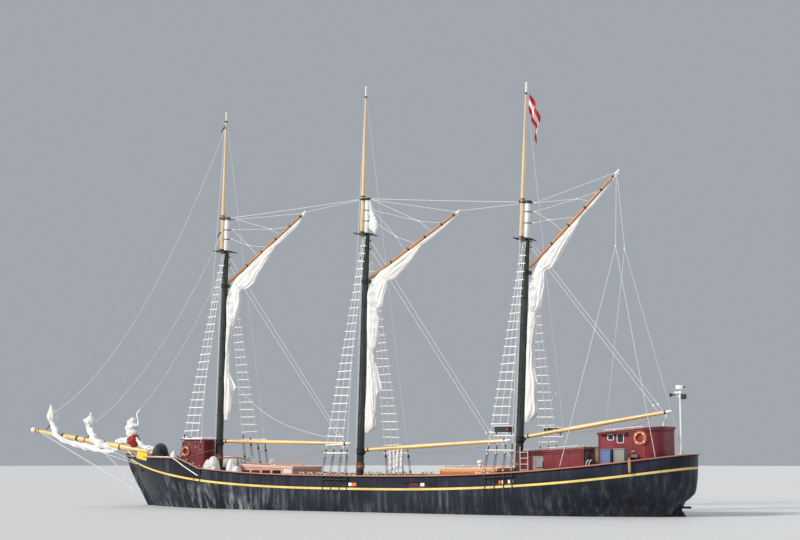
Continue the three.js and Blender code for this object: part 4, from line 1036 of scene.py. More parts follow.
class SCHOONER_OT_masts(SchoonerBuilder, Operator):
    """Lower masts, crosstrees, topmasts and the bowsprit"""

    bl_idname = "schooner.masts"
    bl_label = "Masts and bowsprit"

    def build(self, scene):
        for name, mast in MASTS.items():
            self.lower(name, mast)
            self.trees(name, mast)
            self.topmast(name, mast)
        self.bowsprit()

    def lower(self, name, mast):
        """A tapering round mast, dark to the hounds and white through the doubling, with its bands."""
        foot, hounds = 0.45, mast["hounds"]
        head = hounds + DOUBLING
        pile = Pile()
        up = np.linspace(foot, hounds, 40)
        radius = np.array([mast_radius(mast, u) for u in up])
        pile.grid(on_mast(mast, lathe(np.stack([radius, up], -1), 28)), slot=0)
        doubled = [(MASTHEAD_RADIUS, hounds), (MASTHEAD_RADIUS, head - 0.05), (0.072, head)]
        pile.grid(on_mast(mast, lathe(doubled, 28)), slot=1)
        boom_r = mast_radius(mast, mast["boom"])
        top = mast["boom"] - 0.0604
        out = boom_r + 0.04
        collar = [(boom_r, top - 0.09), (out - 0.01, top - 0.04), (out, top - 0.03), (out, top)]
        pile.grid(on_mast(mast, lathe(collar, 28)), slot=2)
        deck = float(deck_top(mast["x"]))
        coat = [(0.168, 0.0), (0.168, 0.035), (0.15, 0.06), (0.122, 0.11), (0.117, 0.12)]
        pile.grid(on_mast(mast, lathe(coat, 28) + [0, 0, deck]), slot=3)
        for level in (0.55, 1.15, 2.9, 4.1, 5.4, 6.2):
            if level > deck and abs(level - mast["gaff"]) > 0.2:
                rows = raised(mast_radius(mast, level), level, level + 0.056, 0.006, 0.006)
                pile.grid(on_mast(mast, lathe(rows, 28)), slot=2)
        cap = block((0.105 + TOPMAST_AHEAD + 0.095, 0.18, 0.056), 0.2)
        pile.grid(on_mast(mast, cap + [(TOPMAST_AHEAD - 0.01) / 2, 0, head - 0.03]), slot=2)
        reach = boom_r + 0.012
        for side in (-1, 1):
            for turn in range(5):
                angle = math.pi / 2 * side + (turn - 2) * 0.42
                centre = mast_point(mast, deck + 0.62, math.cos(angle) * reach, math.sin(angle) * reach)
                pile.rod(centre - [0, 0, 0.09], centre + [0, 0, 0.10], 0.011, 8, slot=4)
        rack = raised(boom_r, deck + 0.58, deck + 0.63, 0.03, 0.005)
        pile.grid(on_mast(mast, lathe(rack, 28)), slot=4)
        pile.make(
            f"lower_mast_{name}",
            finishes("mast_paint", "white_paint", "iron", "dark_canvas", "rail_wood"),
            replaces=[f"mast_{name}"], slot="mast_paint", angle=35)

    def trees(self, name, mast):
        """Trestle trees fore and aft, tapering spreaders across them, and the cheeks below."""
        base = mast["hounds"] + 0.0003
        pile = Pile()
        for side in (-1, 1):
            beam = block((0.150 + TOPMAST_AHEAD + 0.11, 0.034, 0.055), 0.12)
            pile.grid(on_mast(mast, beam + [0.069, side * 0.099, base + 0.028]))
            cheek = np.array([
                [[0.0, -0.016, -0.30], [0.015, 0.0, -0.30], [0.0, 0.016, -0.30], [-0.015, 0.0, -0.30]],
                [[0.09, -0.016, -0.02], [0.10, 0.0, -0.02], [0.09, 0.016, -0.02], [-0.01, 0.0, -0.02]],
            ])
            pile.grid(on_mast(mast, cheek + [0.0, side * 0.098, base]))
        for ahead in (-0.06, 0.262):
            reach = 0.52 if ahead < 0 else 0.36
            t = np.linspace(-1, 1, 13)
            path = np.stack([0 * t + ahead, t * reach, 0 * t + base + 0.032], -1)
            section = np.array([(-0.5, -0.5), (0.5, -0.5), (0.5, 0.5), (-0.5, 0.5)])
            size = 1 - 0.45 * np.abs(t)
            side = np.stack([0.046 * size, 0 * t, 0 * t], -1)
            up = np.stack([0 * t, 0 * t, 0.046 * size], -1)
            pile.grid(on_mast(mast, section_along(path, section[::-1], side, up)))
        pile.make(f"trees_{name}", finish("iron"), replaces=[f"crosstrees_{name}"], slot="ironwork", angle=30)

    def topmast(self, name, mast):
        """A pale pole from its square heel to a white truck."""
        hounds = mast["hounds"]
        cap = hounds + DOUBLING
        top = cap + TOPMAST_UP
        up = np.array([hounds - 0.07, hounds - 0.05, hounds + 0.09, cap, cap + 1.2, cap + 2.4, top - 0.3])
        r = np.array([0.058, 0.066, 0.066, 0.06, 0.049, 0.038, 0.030])
        fine = np.linspace(up[0], up[-1], 36)
        pile = Pile()
        truck = [(0.027, -0.01), (0.044, 0.008), (0.046, 0.02), (0.042, 0.036), (0.012, 0.048)]
        parts = [(lathe(np.stack([np.interp(fine, up, r), fine], -1), 20), 0)]
        parts.append((lathe([(0.030, top - 0.3), (0.027, top)], 20), 1))
        parts.append((lathe(truck, 20) + [0, 0, top], 1))
        for level in (hounds + 0.075, cap - 0.075, cap + 0.03, top - 0.31):
            radius = float(np.interp(level, up, r))
            parts.append((lathe(raised(radius, level, level + 0.04, 0.007, 0.004), 20), 2))
        for part, slot in parts:
            pile.grid(on_mast(mast, part, TOPMAST_AHEAD), slot=slot)
        pile.make(
            f"pole_{name}", finishes("topmast_wood", "white_paint", "iron"),
            replaces=[f"topmast_{name}"], slot="topmast_wood", angle=35)

    def bowsprit(self):
        """A round spar with iron bands for its stays and a white knob at its tip."""
        rows = [(0, 0.096), (0.35, 0.096), (1, 0.062)]
        path, radius = tapered(BOWSPRIT_HEEL, BOWSPRIT_TIP, rows, 40)
        pile = Pile()
        pile.tube(path, radius, 24, slot=0)
        bands = (
            (0.978, 0.05), (0.955, 0.04), (0.757, 0.10), (0.641, 0.10), (0.575, 0.05), (0.42, 0.06),
            (0.30, 0.06))
        for share, wide in bands:
            here = float(np.interp(share, *zip(*rows)))
            band(pile, BOWSPRIT_HEEL, BOWSPRIT_TIP, share, here, wide, 1)
        pile.ball(BOWSPRIT_TIP + [0.02, 0, 0.01], 0.092, slot=2, sides=22)
        pile.make(
            "bowsprit_spar", finishes("boom_wood", "iron", "white_paint"), replaces=["bowsprit"],
            slot="topmast_wood", angle=35)


class SCHOONER_OT_spars(SchoonerBuilder, Operator):
    """Booms and gaffs with their jaws, bands and painted ends"""

    bl_idname = "schooner.spars"
    bl_label = "Booms and gaffs"

    def build(self, scene):
        for name, mast in MASTS.items():
            self.spar(
                f"boom_spar_{name}", f"{name}_boom", f"boom_{name}", mast, mast["boom"], BOOM_END[name],
                (BOOM_BUTT, 0.066, 0.044), "boom_wood", (0.03, 0.955))
            self.spar(
                f"gaff_spar_{name}", f"{name}_gaff", f"gaff_{name}", mast, mast["gaff"], GAFF_END[name],
                (GAFF_BUTT, 0.054, 0.034), "gaff_wood", (0.25, 0.44, 0.62, 0.80, 0.93))

    def spar(self, name, body, node, mast, up, end, radii, wood, bands):
        """A swelling round spar: varnish, a white end past a dark band, and a ring of jaws on the mast."""
        butt, belly, neck = radii
        start, tip = spar_ends(mast, up, end, butt)
        cut = point_on(start, tip, 0.955)
        varnished = [(0, butt * 0.9), (0.02, butt), (0.47, belly), (1, neck * 1.05)]
        white = [(0, neck * 1.02), (0.7, neck * 0.9), (0.93, neck * 0.75), (1, neck * 0.45)]
        pile = Pile()
        pile.tube(*tapered(start, cut, varnished), 22, slot=0)
        pile.tube(*tapered(cut, tip, white, 8), 22, slot=1)
        for share in bands:
            here = float(np.interp(share, [0, 0.45, 1], radii))
            band(pile, start, tip, share, here, 0.05, 2)
        inner = mast_radius(mast, up) + PLAY
        for low, high in ((-0.058, -0.016), (0.016, 0.058)):
            edge, out = inner + 0.026, inner + 0.032
            jaw = [
                (inner, low), (edge, low), (out, low + 0.006),
                (out, high - 0.006), (edge, high), (inner, high)]
            grid = on_mast(mast, lathe(jaw, 32) + [0, 0, up])
            pile.grid(np.concatenate([grid, grid[:1]]), caps=(False, False), slot=2)
        cheek = on_mast(mast, block((0.07, 0.10, 0.116), 0.12) + [-inner - 0.036, 0, up])
        pile.grid(cheek, slot=2)
        if node.startswith("gaff"):
            back = -inner - 0.016
            low, high = mast_point(mast, up + 0.05, back), mast_point(mast, mast["hounds"] - 0.0006, back)
            for aside in (-0.008, 0.008):
                pile.rod(low + [0, aside, 0], high + [0, aside, 0], 0.0055, 6, slot=3)
        pile.make(
            name, finishes(wood, "white_paint", "iron", "white_rope"), body, [node], slot=wood, angle=35)


# Rigging


def chain_foot(mast, step, sign):
    """Foot of a shroud, outside the rail on the chain plates."""
    x = mast["x"] - 1.2 * math.tan(mast["rake"]) + mast["chains"] + step
    return np.array([x, sign * (float(skin_y(x, rail_z(x))) + 0.066), float(rail_z(x)) - 0.09])


def shroud_lines(mast, sign):
    """Foot and head of the backstay and of the three shrouds on one side, from aft forward."""
    head = mast_point(mast, backstay_up(mast) - 0.025, TOPMAST_AHEAD, sign * 0.044)
    lines = [(chain_foot(mast, -0.56, sign), head)]
    for step in (-0.3, 0.0, 0.3):
        head = mast_point(mast, mast["hounds"] - 0.0303, step * 0.12, sign * 0.122)
        lines.append((chain_foot(mast, step, sign), head))
    return lines


def at_height(line, z):
    low, high = line
    return low + (high - low) * ((z - low[2]) / (high[2] - low[2]))


def chain(pile, start, end, link, thick, slot=0):
    """Links along a line, each an oval ring turned a quarter from the one before."""
    start, end = np.asarray(start, float), np.asarray(end, float)
    along = unit(end - start)
    pitch = link - 2.2 * thick
    count = max(1, int(round(np.linalg.norm(end - start) / pitch)))
    across = unit(np.cross(along, [0.0, 0.9, 0.3]))
    for i in range(count):
        centre = start + (end - start) * ((i + 0.5) / count)
        second = across if i % 2 else np.cross(along, across)
        turn = np.linspace(0, 2 * math.pi, 13)
        path = centre + np.cos(turn)[:, None] * along * (link / 2 - thick)
        grid = rings(path + np.sin(turn)[:, None] * second * link * 0.3, thick, 6)
        grid[-1] = grid[0]
        pile.grid(grid, caps=(False, False), slot=slot)


def halyard_block(pile, centre, direction, size, wood, metal):
    """A rope block: a flattened shell, its sheave's axle and a strop round it."""
    shell = lathe([(0.06, -0.5), (0.25, -0.44), (0.36, -0.15), (0.37, 0.15), (0.26, 0.42), (0.08, 0.5)], 14)
    shell = shell * np.array([1.0, 0.62, 1.0]) * size
    pile.grid(turned_to(shell, direction, centre, (0, 1, 0.05)), slot=wood)
    axle = turned_to(lathe([(0.09, -0.27), (0.09, 0.27)], 10) * size, (0.05, 1, 0.02), centre)
    pile.grid(axle, slot=metal)
    pile.torus(centre + unit(direction) * size * 0.52, (0.05, 1, 0), size * 0.10, size * 0.035, metal, 14, 6)


class SCHOONER_OT_shrouds(SchoonerBuilder, Operator):
    """Shrouds with deadeyes, lanyards, chain plates and white ratline battens"""

    bl_idname = "schooner.shrouds"
    bl_label = "Shrouds"

    def build(self, scene):
        sizes = scene.schooner_rig
        for name, mast in MASTS.items():
            for side, sign in SIDES.items():
                self.one_side(name, mast, side, sign, sizes)

    def one_side(self, name, mast, side, sign, sizes):
        """The wires of one side with a pair of deadeyes and four lanyard parts below each."""
        disc = [(0.6, -0.4), (0.92, -0.36), (1.0, -0.12), (0.86, 0.0), (1.0, 0.12), (0.92, 0.36), (0.6, 0.4)]
        pile = Pile()
        lines = shroud_lines(mast, sign)
        for i, line in enumerate(lines):
            foot, head = line
            rail = float(rail_z(foot[0]))
            along = unit(head - foot)
            upper, lower = at_height(line, rail + 0.575), at_height(line, rail + 0.085)
            pile.rod(at_height(line, rail + 0.61), head, sizes.wire * (0.75 if i == 0 else 1.0), 7, 0)
            pile.rod(at_height(line, rail + 0.62), at_height(line, rail + 0.80), sizes.wire * 1.9, 8, 5)
            out = unit(np.cross(along, (1.0, 0, 0))) * -sign
            for centre in (upper, lower):
                pile.grid(turned_to(lathe(disc, 16) * sizes.deadeye, out, centre), slot=1)
                pile.torus(centre, out, sizes.deadeye * 0.92, 0.006, 2, 20, 6)
            aft = unit(np.cross(out, along))
            for turn, shift in enumerate((-0.62, -0.24, 0.24, 0.62)):
                bow, lead = (0.010, 0.2) if turn % 2 else (-0.004, -0.2)
                start, end = upper + aft * shift * 0.045, lower + aft * (shift + lead) * 0.04
                pile.rod(start + out * bow, end + out * bow, 0.0052, 6, 3)
            self.chain_plate(pile, lower, rail, sign)
        self.tops(pile, mast, sign)
        self.pole(pile, mast, sign, lines)
        self.battens(pile, mast, sign, (lines[1], lines[-1]), sizes)
        pile.make(
            f"rigging_{name}_{side}",
            finishes("galvanised", "mast_paint", "iron", "dark_rope", "white_paint", "dark_canvas"),
            replaces=[f"shrouds_{name}_{side}"], slot="wire", angle=35)

    def chain_plate(self, pile, lower, rail, sign):
        """A flat strap bent to lie on the topsides below the rail and stand out to the deadeye."""
        x = lower[0]
        heights = np.array([rail - 0.44, rail - 0.34, rail - 0.16, rail - 0.06, rail + 0.06])
        skin = np.array([float(skin_y(x, z)) for z in np.minimum(heights, rail)])
        out = skin + np.array([0.006, 0.007, 0.010, 0.034, 0.0])
        out[-1] = abs(lower[1]) - 0.004
        path = np.stack([np.full(5, x), sign * out, heights], -1)
        side = np.broadcast_to([0.0, sign, 0.0], path.shape)
        section = [(-0.005, -0.017), (0.005, -0.017), (0.005, 0.017), (-0.005, 0.017)]
        forward = np.broadcast_to([1.0, 0.0, 0.0], path.shape)
        grid = section_along(path, section, side, forward)
        pile.grid(grid if sign > 0 else grid[:, ::-1], slot=2)
        for place in (path[0], path[1]):
            pile.ball(place + [0, sign * 0.005, 0.02], 0.009, slot=2, sides=8)

    def tops(self, pile, mast, sign):
        """Iron bands with eyes that hold the shrouds at the hounds and the backstay near the truck."""
        eye = block((0.096, 0.064, 0.056), 0.2) + [0, sign * 0.122, mast["hounds"] - 0.031]
        pile.grid(on_mast(mast, eye), slot=2)
        eye = block((0.046, 0.05, 0.046), 0.2) + [TOPMAST_AHEAD, sign * 0.046, backstay_up(mast) - 0.025]
        pile.grid(on_mast(mast, eye), slot=2)

    def pole(self, pile, mast, sign, lines):
        """The white sheer pole lashed level across the shrouds, and the bar of the chain plates below it."""
        places = [at_height(line, mast["pole"]) for line in lines]
        reach = unit(places[-1] - places[0]) * 0.06
        start, end = places[0] - reach, places[-1] + reach
        self.bar(pile, start, end, 0.036, 0.028, 4)
        inward = np.array([0.0, -sign * 0.026, 0.0])
        foot, far = lines[0][0] + inward, lines[-1][0] + inward
        reach = unit(far - foot) * 0.06
        self.bar(pile, foot - reach, far + reach, 0.036, 0.060, 2)

    def bar(self, pile, start, end, high, deep, slot):
        """A straight bar of rectangular section with its edges cut off."""
        out = unit(np.cross(unit(end - start), (0, 0, 1.0)))
        h, d, c = high / 2, deep / 2, min(high, deep) * 0.18
        section = [
            (c - d, -h), (d - c, -h), (d, c - h), (d, h - c),
            (d - c, h), (c - d, h), (-d, h - c), (-d, c - h),
        ]
        path = np.array([start, end])
        grid = level_section(path, section, np.broadcast_to(out, path.shape))
        pile.grid(grid[:, ::-1], slot=slot)

    def battens(self, pile, mast, sign, outer_shrouds, sizes):
        """White battens up the three shrouds, each a little longer than the gap it spans."""
        first, last = outer_shrouds
        start = mast["pole"]
        clear = 0.28
        count = int((mast["hounds"] - clear - start) / sizes.batten_step)
        for i in range(1, count + 1):
            z = start + i * sizes.batten_step
            fade = math.sin(i * 12.9898) * 43758.5453
            wobble = (fade - math.floor(fade) - 0.5) * 0.02
            a, b = at_height(first, z + wobble), at_height(last, z - wobble)
            reach = unit(b - a) * 0.055
            out = np.array([0.0, sign * 0.014, 0.004])
            self.bar(pile, a - reach + out, b + reach + out, sizes.batten_high, 0.017, 4)


def bowsprit_at(x):
    share = (x - BOWSPRIT_HEEL[0]) / (BOWSPRIT_TIP[0] - BOWSPRIT_HEEL[0])
    return BOWSPRIT_HEEL + (BOWSPRIT_TIP - BOWSPRIT_HEEL) * share


# Stays to the bowsprit: where each leaves it, how far up the foremast it goes and how far ahead of it.
STAYS = {
    "forestay": (8.605, 8.180, 0.0),
    "jib_stay": (10.150, 9.060, TOPMAST_AHEAD),
    "flying_jib_stay": (12.020, 12.580, TOPMAST_AHEAD),
}
# Jib halyards hang slack beside their stays: where each is made fast to its lowered jib, and its sag.
SLACK_HALYARDS = {
    "forestay": ((7.76, 3.17), 0.42),
    "jib_stay": ((9.64, 2.80), 0.72),
    "flying_jib_stay": ((11.60, 3.12), 1.48),
}


def stay_ends(name):
    foot, up, ahead = STAYS[name]
    return bowsprit_at(foot), mast_point(MASTS["fore"], up, ahead)


class SCHOONER_OT_stays(SchoonerBuilder, Operator):
    """Stays to the bowsprit, stays between the masts, bobstays and guys"""

    bl_idname = "schooner.stays"
    bl_label = "Stays"

    def build(self, scene):
        wire = scene.schooner_rig.wire
        for name in STAYS:
            foot, head = stay_ends(name)
            along = unit(head - foot)
            pile = Pile()
            pile.rod(foot + along * 0.10, head - along * 0.03, wire, 8, 0)
            self.sleeve(pile, foot, along, (0.10, 0.14, 0.34, 0.38), (0.008, 0.016, 0.016, 0.008), 10)
            self.sleeve(pile, head, -along, (0.03, 0.05, 0.30, 0.34), (0.014, 0.016, 0.014, 0.009), 10)
            pile.make(f"wire_{name}", finishes("weathered_wire", "iron"), replaces=[name], slot="wire")
        self.bobstays()
        self.between_masts(wire)
        self.halyards(scene.schooner_rig.line)

    def sleeve(self, pile, end, along, places, radii, sides):
        """An iron sleeve on a stay: radii at places measured along it from its end."""
        pile.tube(end + along * np.array(places)[:, None], radii, sides, 1)

    def bobstays(self):
        """White stays under the bowsprit, each of chain at its lower end, and its wire guys."""
        chain_long, radius = 0.62, 0.0145
        for name, high_x, low_x, low_z in (("outer", 12.370, 7.420, 0.260), ("inner", 9.825, 7.465, 0.345)):
            high, low = bowsprit_at(high_x), plane(low_x, low_z)
            along = unit(high - low)
            pile = Pile()
            cut = low + along * chain_long
            pile.rod(cut, high - along * 0.08, radius, 10, 0)
            chain(pile, low + along * 0.06, cut, 0.074, 0.0085, 1)
            self.sleeve(pile, cut, along, (-0.02, 0.0, 0.10, 0.13), (0.012, 0.022, 0.022, 0.015), 12)
            self.sleeve(pile, high, -along, (0.30, 0.27, 0.12, 0.08), (0.015, 0.022, 0.022, 0.012), 12)
            pile.make(
                f"stay_bobstay_{name}", finishes("white_rope", "galvanised"),
                replaces=[f"bobstay_{name}"], slot="wire")
        pile = Pile()
        guy_z = 1.35
        for sign in SIDES.values():
            for high_x, low_x in ((12.33, 7.35), (9.80, 7.20)):
                low = np.array([low_x, sign * (float(skin_y(low_x, guy_z)) + 0.012), guy_z])
                pile.rod(low, bowsprit_at(high_x) + [0, sign * 0.05, 0], 0.0065, 7, 0)
                pile.ball(low, 0.022, (1, 0.6, 1), slot=1, sides=10)
        pile.make("bowsprit_guys", finishes("galvanised", "iron"), slot="wire")

    def between_masts(self, wire):
        """The stays from one mast cap to the next, with a shackle at each end."""
        pairs = (("fore", "main", "triatic_stay_fore"), ("main", "mizzen", "triatic_stay_after"))
        level = DOUBLING - 0.03
        for a, b, node in pairs:
            first, second = MASTS[a], MASTS[b]
            start = mast_point(first, first["hounds"] + level, -0.105)
            end = mast_point(second, second["hounds"] + level, TOPMAST_AHEAD + 0.092)
            pile = Pile()
            pile.tube(sagging(start, end, 0.012, 10), wire, 7, 0)
            for place in (start, end):
                pile.ball(place, 0.024, slot=1, sides=10)
            pile.make(f"wire_{node}", finishes("galvanised", "iron"), replaces=[node], slot="wire")

    def halyards(self, line):
        """Jib halyards beside their stays, and the lines that run down the masts."""
        pile = Pile()
        for name, (clip, sag) in SLACK_HALYARDS.items():
            head = stay_ends(name)[1]
            block = head + np.array([0.02, 0.035, -0.15])
            path = sagging(block - [0, 0, 0.05], plane(*clip, 0.04), sag, 48)
            free_rope(f"halyard_{name}", path, 0.016, "white_rope")
            halyard_block(pile, block, path[0] - path[1], 0.10, 1, 2)
        for mast in MASTS.values():
            rack = float(deck_top(mast["x"])) + 0.62
            for turn, drop in ((0.72, 0.75), (1.12, 0.40), (-0.72, 0.55), (-1.12, 0.30)):
                ends = []
                for up, off in ((rack, 0.035), (mast["hounds"] - drop, 0.062)):
                    r = mast_radius(mast, up) + off
                    ends.append(mast_point(mast, up, math.cos(turn) * r, math.sin(turn) * r))
                pile.rod(*ends, line * 0.8, 5, 0)
                halyard_block(pile, ends[1] + [0, 0, 0.03], (0, 0, 1), 0.09, 1, 2)
        pile.make("running_lines", finishes("white_rope", "mast_paint", "iron"), slot="wire")


# Rigging of the booms and gaffs, by points (x, z) of the centre plane

# Peak halyards: blocks behind the masthead, blocks of the bridles, and each bridle's places along the gaff.
PEAK_GEAR = {
    "fore": (
        ((3.852, 9.327), (4.009, 8.998), (4.053, 8.689)), ((2.47, 8.90), (3.367, 8.434)),
        (1.782, 2.111, 2.637, 3.007)),
    "main": (
        ((-1.335, 9.549), (-1.380, 9.224), (-1.380, 8.886)), ((-3.041, 8.749), (-2.235, 8.325)),
        (-3.864, -3.474, -2.916, -2.531)),
    "mizzen": (
        ((-6.949, 9.000), (-6.942, 8.739), (-6.909, 8.408)), ((-8.300, 9.004), (-7.399, 8.459)),
        (-9.015, -8.709, -8.255, -7.835)),
}
# Topping lifts: height up the mast, x of the foot on the boom, and how far apart the two start.
LIFTS = {"fore": (8.10, -0.383, 0.26), "main": (8.28, -5.584, 0.26), "mizzen": (7.88, -10.786, 0.16)}
# Where the line from a gaff's peak reaches the next mast.
HIGH_LINES = {"fore": (-0.870, 9.575), "main": (-6.440, 9.010)}
# Boom sheets: x and z of the lower block, and the share of the boom that the upper one hangs at.
SHEETS = {"fore": (-0.420, 0.90, 0.95), "main": (-6.400, 1.16, 0.95), "mizzen": (-10.800, 2.50, 0.965)}
BOOM_BUTT, GAFF_BUTT = 0.052, 0.046


def plane(x, z, y=0.0):
    return np.array([x, y, z], float)


def on_spar(name, kind, share):
    """A point on the axis of a boom or gaff at a share of its length."""
    mast = MASTS[name]
    end, radius = (BOOM_END, BOOM_BUTT) if kind == "boom" else (GAFF_END, GAFF_BUTT)
    start, tip = spar_ends(mast, mast[kind], end[name], radius)
    return point_on(start, tip, share)


def share_at(name, kind, x):
    start, tip = on_spar(name, kind, 0), on_spar(name, kind, 1)
    return (x - start[0]) / (tip[0] - start[0])


class SCHOONER_OT_gear(SchoonerBuilder, Operator):
    """Peak halyards, topping lifts, vangs, sheets and the lines between gaffs and masts"""

    bl_idname = "schooner.gear"
    bl_label = "Running gear"

    def build(self, scene):
        sizes = scene.schooner_rig
        for name in MASTS:
            self.peak_halyard(name, sizes)
            self.lift(name, sizes)
        self.high_lines(sizes)
        self.sheets()
        self.vangs(sizes)

    def peak_halyard(self, name, sizes):
        """Bridles on the gaff, their blocks, and the falls up to blocks behind the masthead."""
        mast_points, blocks, gaff_places = PEAK_GEAR[name]
        pile, strops = Pile(), Pile()
        mast = MASTS[name]
        tops = []
        for x, z in mast_points:
            ahead, up = in_mast(mast, x, z)
            r = mast_radius(mast, up) if up < mast["hounds"] else MASTHEAD_RADIUS
            top = mast_point(mast, up, min(ahead, -r - 0.10))
            tops.append(top)
            at_band = mast_point(mast, up, -r)
            halyard_block(pile, top, at_band - top, sizes.block * 0.9, 1, 2)
            pile.rod(at_band, top, sizes.line * 1.3, 8, 2)
            strops.grid(on_mast(mast, lathe(raised(r, up - 0.014, up + 0.014, 0.012, 0.004), 20)))
        for i, (x, z) in enumerate(blocks):
            centre = plane(x, z)
            towards = (tops[i] + tops[i + 1]) / 2 - centre
            halyard_block(pile, centre, towards, sizes.block, 1, 2)
            for foot_x in gaff_places[2 * i:2 * i + 2]:
                foot = on_spar(name, "gaff", share_at(name, "gaff", foot_x))
                pile.rod(foot, centre, sizes.line, 6, 0)
            for top in (tops[i], tops[i + 1]):
                for aside in (-0.012, 0.012):
                    pile.rod(centre + [0, aside, 0], top + [0, aside, 0], sizes.line * 0.9, 6, 0)
        pile.rod(tops[0], on_spar(name, "gaff", 0.955) + [0, 0, 0.04], sizes.line, 6, 0)
        pile.make(
            f"peak_halyard_{name}", finishes("white_rope", "white_paint", "iron"),
            f"{name}_gaff", slot="wire")
        strops.make(f"halyard_bands_{name}", finish("iron"), slot="ironwork")

    def lift(self, name, sizes):
        """Doubled topping lifts, in the centre plane, from under the hounds to the boom's end."""
        mast = MASTS[name]
        up, end, apart = LIFTS[name]
        pile = Pile()
        for lower, nearer in ((0.0, 0.0), (apart, 0.14)):
            top = mast_point(mast, up - lower, -0.15)
            foot = on_spar(name, "boom", share_at(name, "boom", end + nearer)) + [0, 0, 0.045]
            pile.rod(top, foot, sizes.line, 6, 0)
            pile.rod(mast_point(mast, up - lower, -0.09), top, 0.008, 8, 1)
            pile.ball(top, 0.026, (1, 0.8, 1.4), slot=1, sides=10)
            halyard_block(pile, foot + (top - foot) * 0.035, top - foot, sizes.block, 2, 1)
        looks = finishes("white_rope", "iron", "white_paint")
        pile.make(f"topping_lift_{name}", looks, f"{name}_boom", slot="wire")

    def between(self, name, body, start, end, radius, count=24, extra=()):
        """Taut lines from the ship to a moving spar."""
        pile = Pile()
        for a, b in [(start, end), *extra]:
            pile.tube(sagging(a, b, 0.0, count), radius, 6, 0)
        piece = pile.make(name, finish("white_rope"), body=None, slot="wire")
        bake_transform(piece)

    def high_lines(self, sizes):
        """A taut line from the peak of each of the two forward gaffs to the mast behind it."""
        for name, head in HIGH_LINES.items():
            tip = on_spar(name, "gaff", 0.965) + [0, 0, 0.04]
            self.between(f"gaff_line_{name}", f"{name}_gaff", plane(*head), tip, sizes.line)

    def sheets(self):
        """Boom sheets: three parts between a block on the boom and one at the deck or roof."""
        for name, (x, z, share) in SHEETS.items():
            low = plane(x, z)
            high = on_spar(name, "boom", share) - [0, 0, 0.14]
            extra = [
                (low + [dx, dy, 0.03], high + [dx * 0.6, dy, -0.03])
                for dx, dy in ((0.022, 0.016), (-0.022, -0.016))
            ]
            self.between(f"sheet_{name}", f"{name}_boom", low, high, 0.0095, 12, extra)
            pile = Pile()
            halyard_block(pile, high + [0, 0, 0.02], (0, 0, 1), 0.13, 0, 1)
            pile.rod(high + [0, 0, 0.06], high + [0, 0, 0.12], 0.011, 8, 1)
            pile.make(f"sheet_block_{name}", finishes("white_paint", "iron"), f"{name}_boom", slot="wire")
            pile = Pile()
            halyard_block(pile, low - [0, 0, 0.02], (0, 0, 1), 0.13, 0, 1)
            pile.rod(low - [0, 0, 0.09], low - [0, 0, 0.045], 0.014, 8, 1)
            pile.make(f"sheet_foot_{name}", finishes("white_paint", "iron"), slot="wire")

    def vangs(self, sizes):
        """Vangs of the mizzen gaff: a pendant to each side, its block, and two legs down to the rail."""
        peak = on_spar("mizzen", "gaff", 0.97)
        feet = {"port": (-8.45, -10.98), "starboard": (-8.16, -10.94)}
        for side, sign in SIDES.items():
            block = np.array([-9.60, sign * 0.33, 7.50])
            top = peak + [0, sign * 0.03, -0.03]
            legs = []
            bolts = Pile()
            for x in feet[side]:
                foot = np.array([x, sign * (float(skin_y(x, rail_z(x))) - 0.02), float(rail_z(x)) + 0.05])
                legs.append(foot)
                bolts.torus(foot, (0.2, 1, 0), 0.03, 0.008, 0, 16, 6)
                bolts.rod(foot - [0, 0, 0.03], foot - [0, 0, 0.05], 0.02, 8)
            bolts.make(f"vang_rings_{side}", finish("iron"), slot="wire")
            pile = Pile()
            for low, high in ((block, top), (legs[0], block), (legs[1], block)):
                pile.tube(sagging(low, high, 0.0, 24), sizes.line, 6, 0)
            halyard_block(pile, block, top - block, sizes.block * 1.1, 1, 2)
            piece = pile.make(
                f"vang_{side}", finishes("white_rope", "white_paint", "iron"), body=None, slot="wire")
            foot = (legs[0] + legs[1]) / 2
            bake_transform(piece)


# Sails and flag

SAIL_CUT = (5.1, 7.3)
# Free edge of each brailed sail from the peak to the foot, the shares along it where a brail pulls it in,
# and its loose corners as triangles.
SAILS = {
    "fore": dict(
        edge=[
            (1.22, 9.29), (1.36, 9.02), (1.80, 8.66), (2.29, 8.25), (2.84, 7.60), (3.10, 7.22), (3.39, 6.98),
            (3.62, 6.80), (3.66, 6.50), (3.77, 6.13), (3.93, 5.68), (4.07, 5.28), (4.06, 4.87), (4.06, 4.34),
            (3.98, 3.95), (3.93, 3.36), (3.98, 3.05), (4.08, 2.79),
        ],
        brails=(0.19, 0.44, 0.62, 0.74), flap=((4.12, 4.36), (3.73, 3.83), (4.04, 3.66))),
    "main": dict(
        edge=[
            (-4.40, 8.94), (-4.34, 8.80), (-3.73, 8.36), (-3.12, 7.94), (-2.78, 7.57), (-2.33, 7.15),
            (-1.90, 6.71), (-1.76, 6.25), (-1.64, 5.79), (-1.58, 5.22), (-1.49, 4.69), (-1.54, 4.0),
            (-1.52, 3.27), (-1.52, 2.93), (-1.48, 2.50), (-1.26, 2.34),
        ],
        brails=(0.20, 0.40, 0.52, 0.68), flap=((-1.44, 4.70), (-1.72, 3.72), (-1.52, 3.42))),
    "mizzen": dict(
        edge=[
            (-9.51, 9.63), (-9.27, 9.29), (-8.89, 8.87), (-8.45, 8.47), (-8.17, 8.04), (-7.90, 7.66),
            (-7.56, 7.13), (-7.28, 6.80), (-7.22, 6.45), (-7.12, 5.95), (-7.01, 5.55), (-6.92, 5.22),
            (-6.90, 4.81), (-6.86, 4.36), (-6.93, 3.71), (-6.95, 3.21), (-6.93, 2.85), (-6.72, 2.62),
        ],
        brails=(0.20, 0.44, 0.60, 0.72), flap=((-6.82, 4.40), (-7.02, 3.76), (-6.88, 3.70))),
}
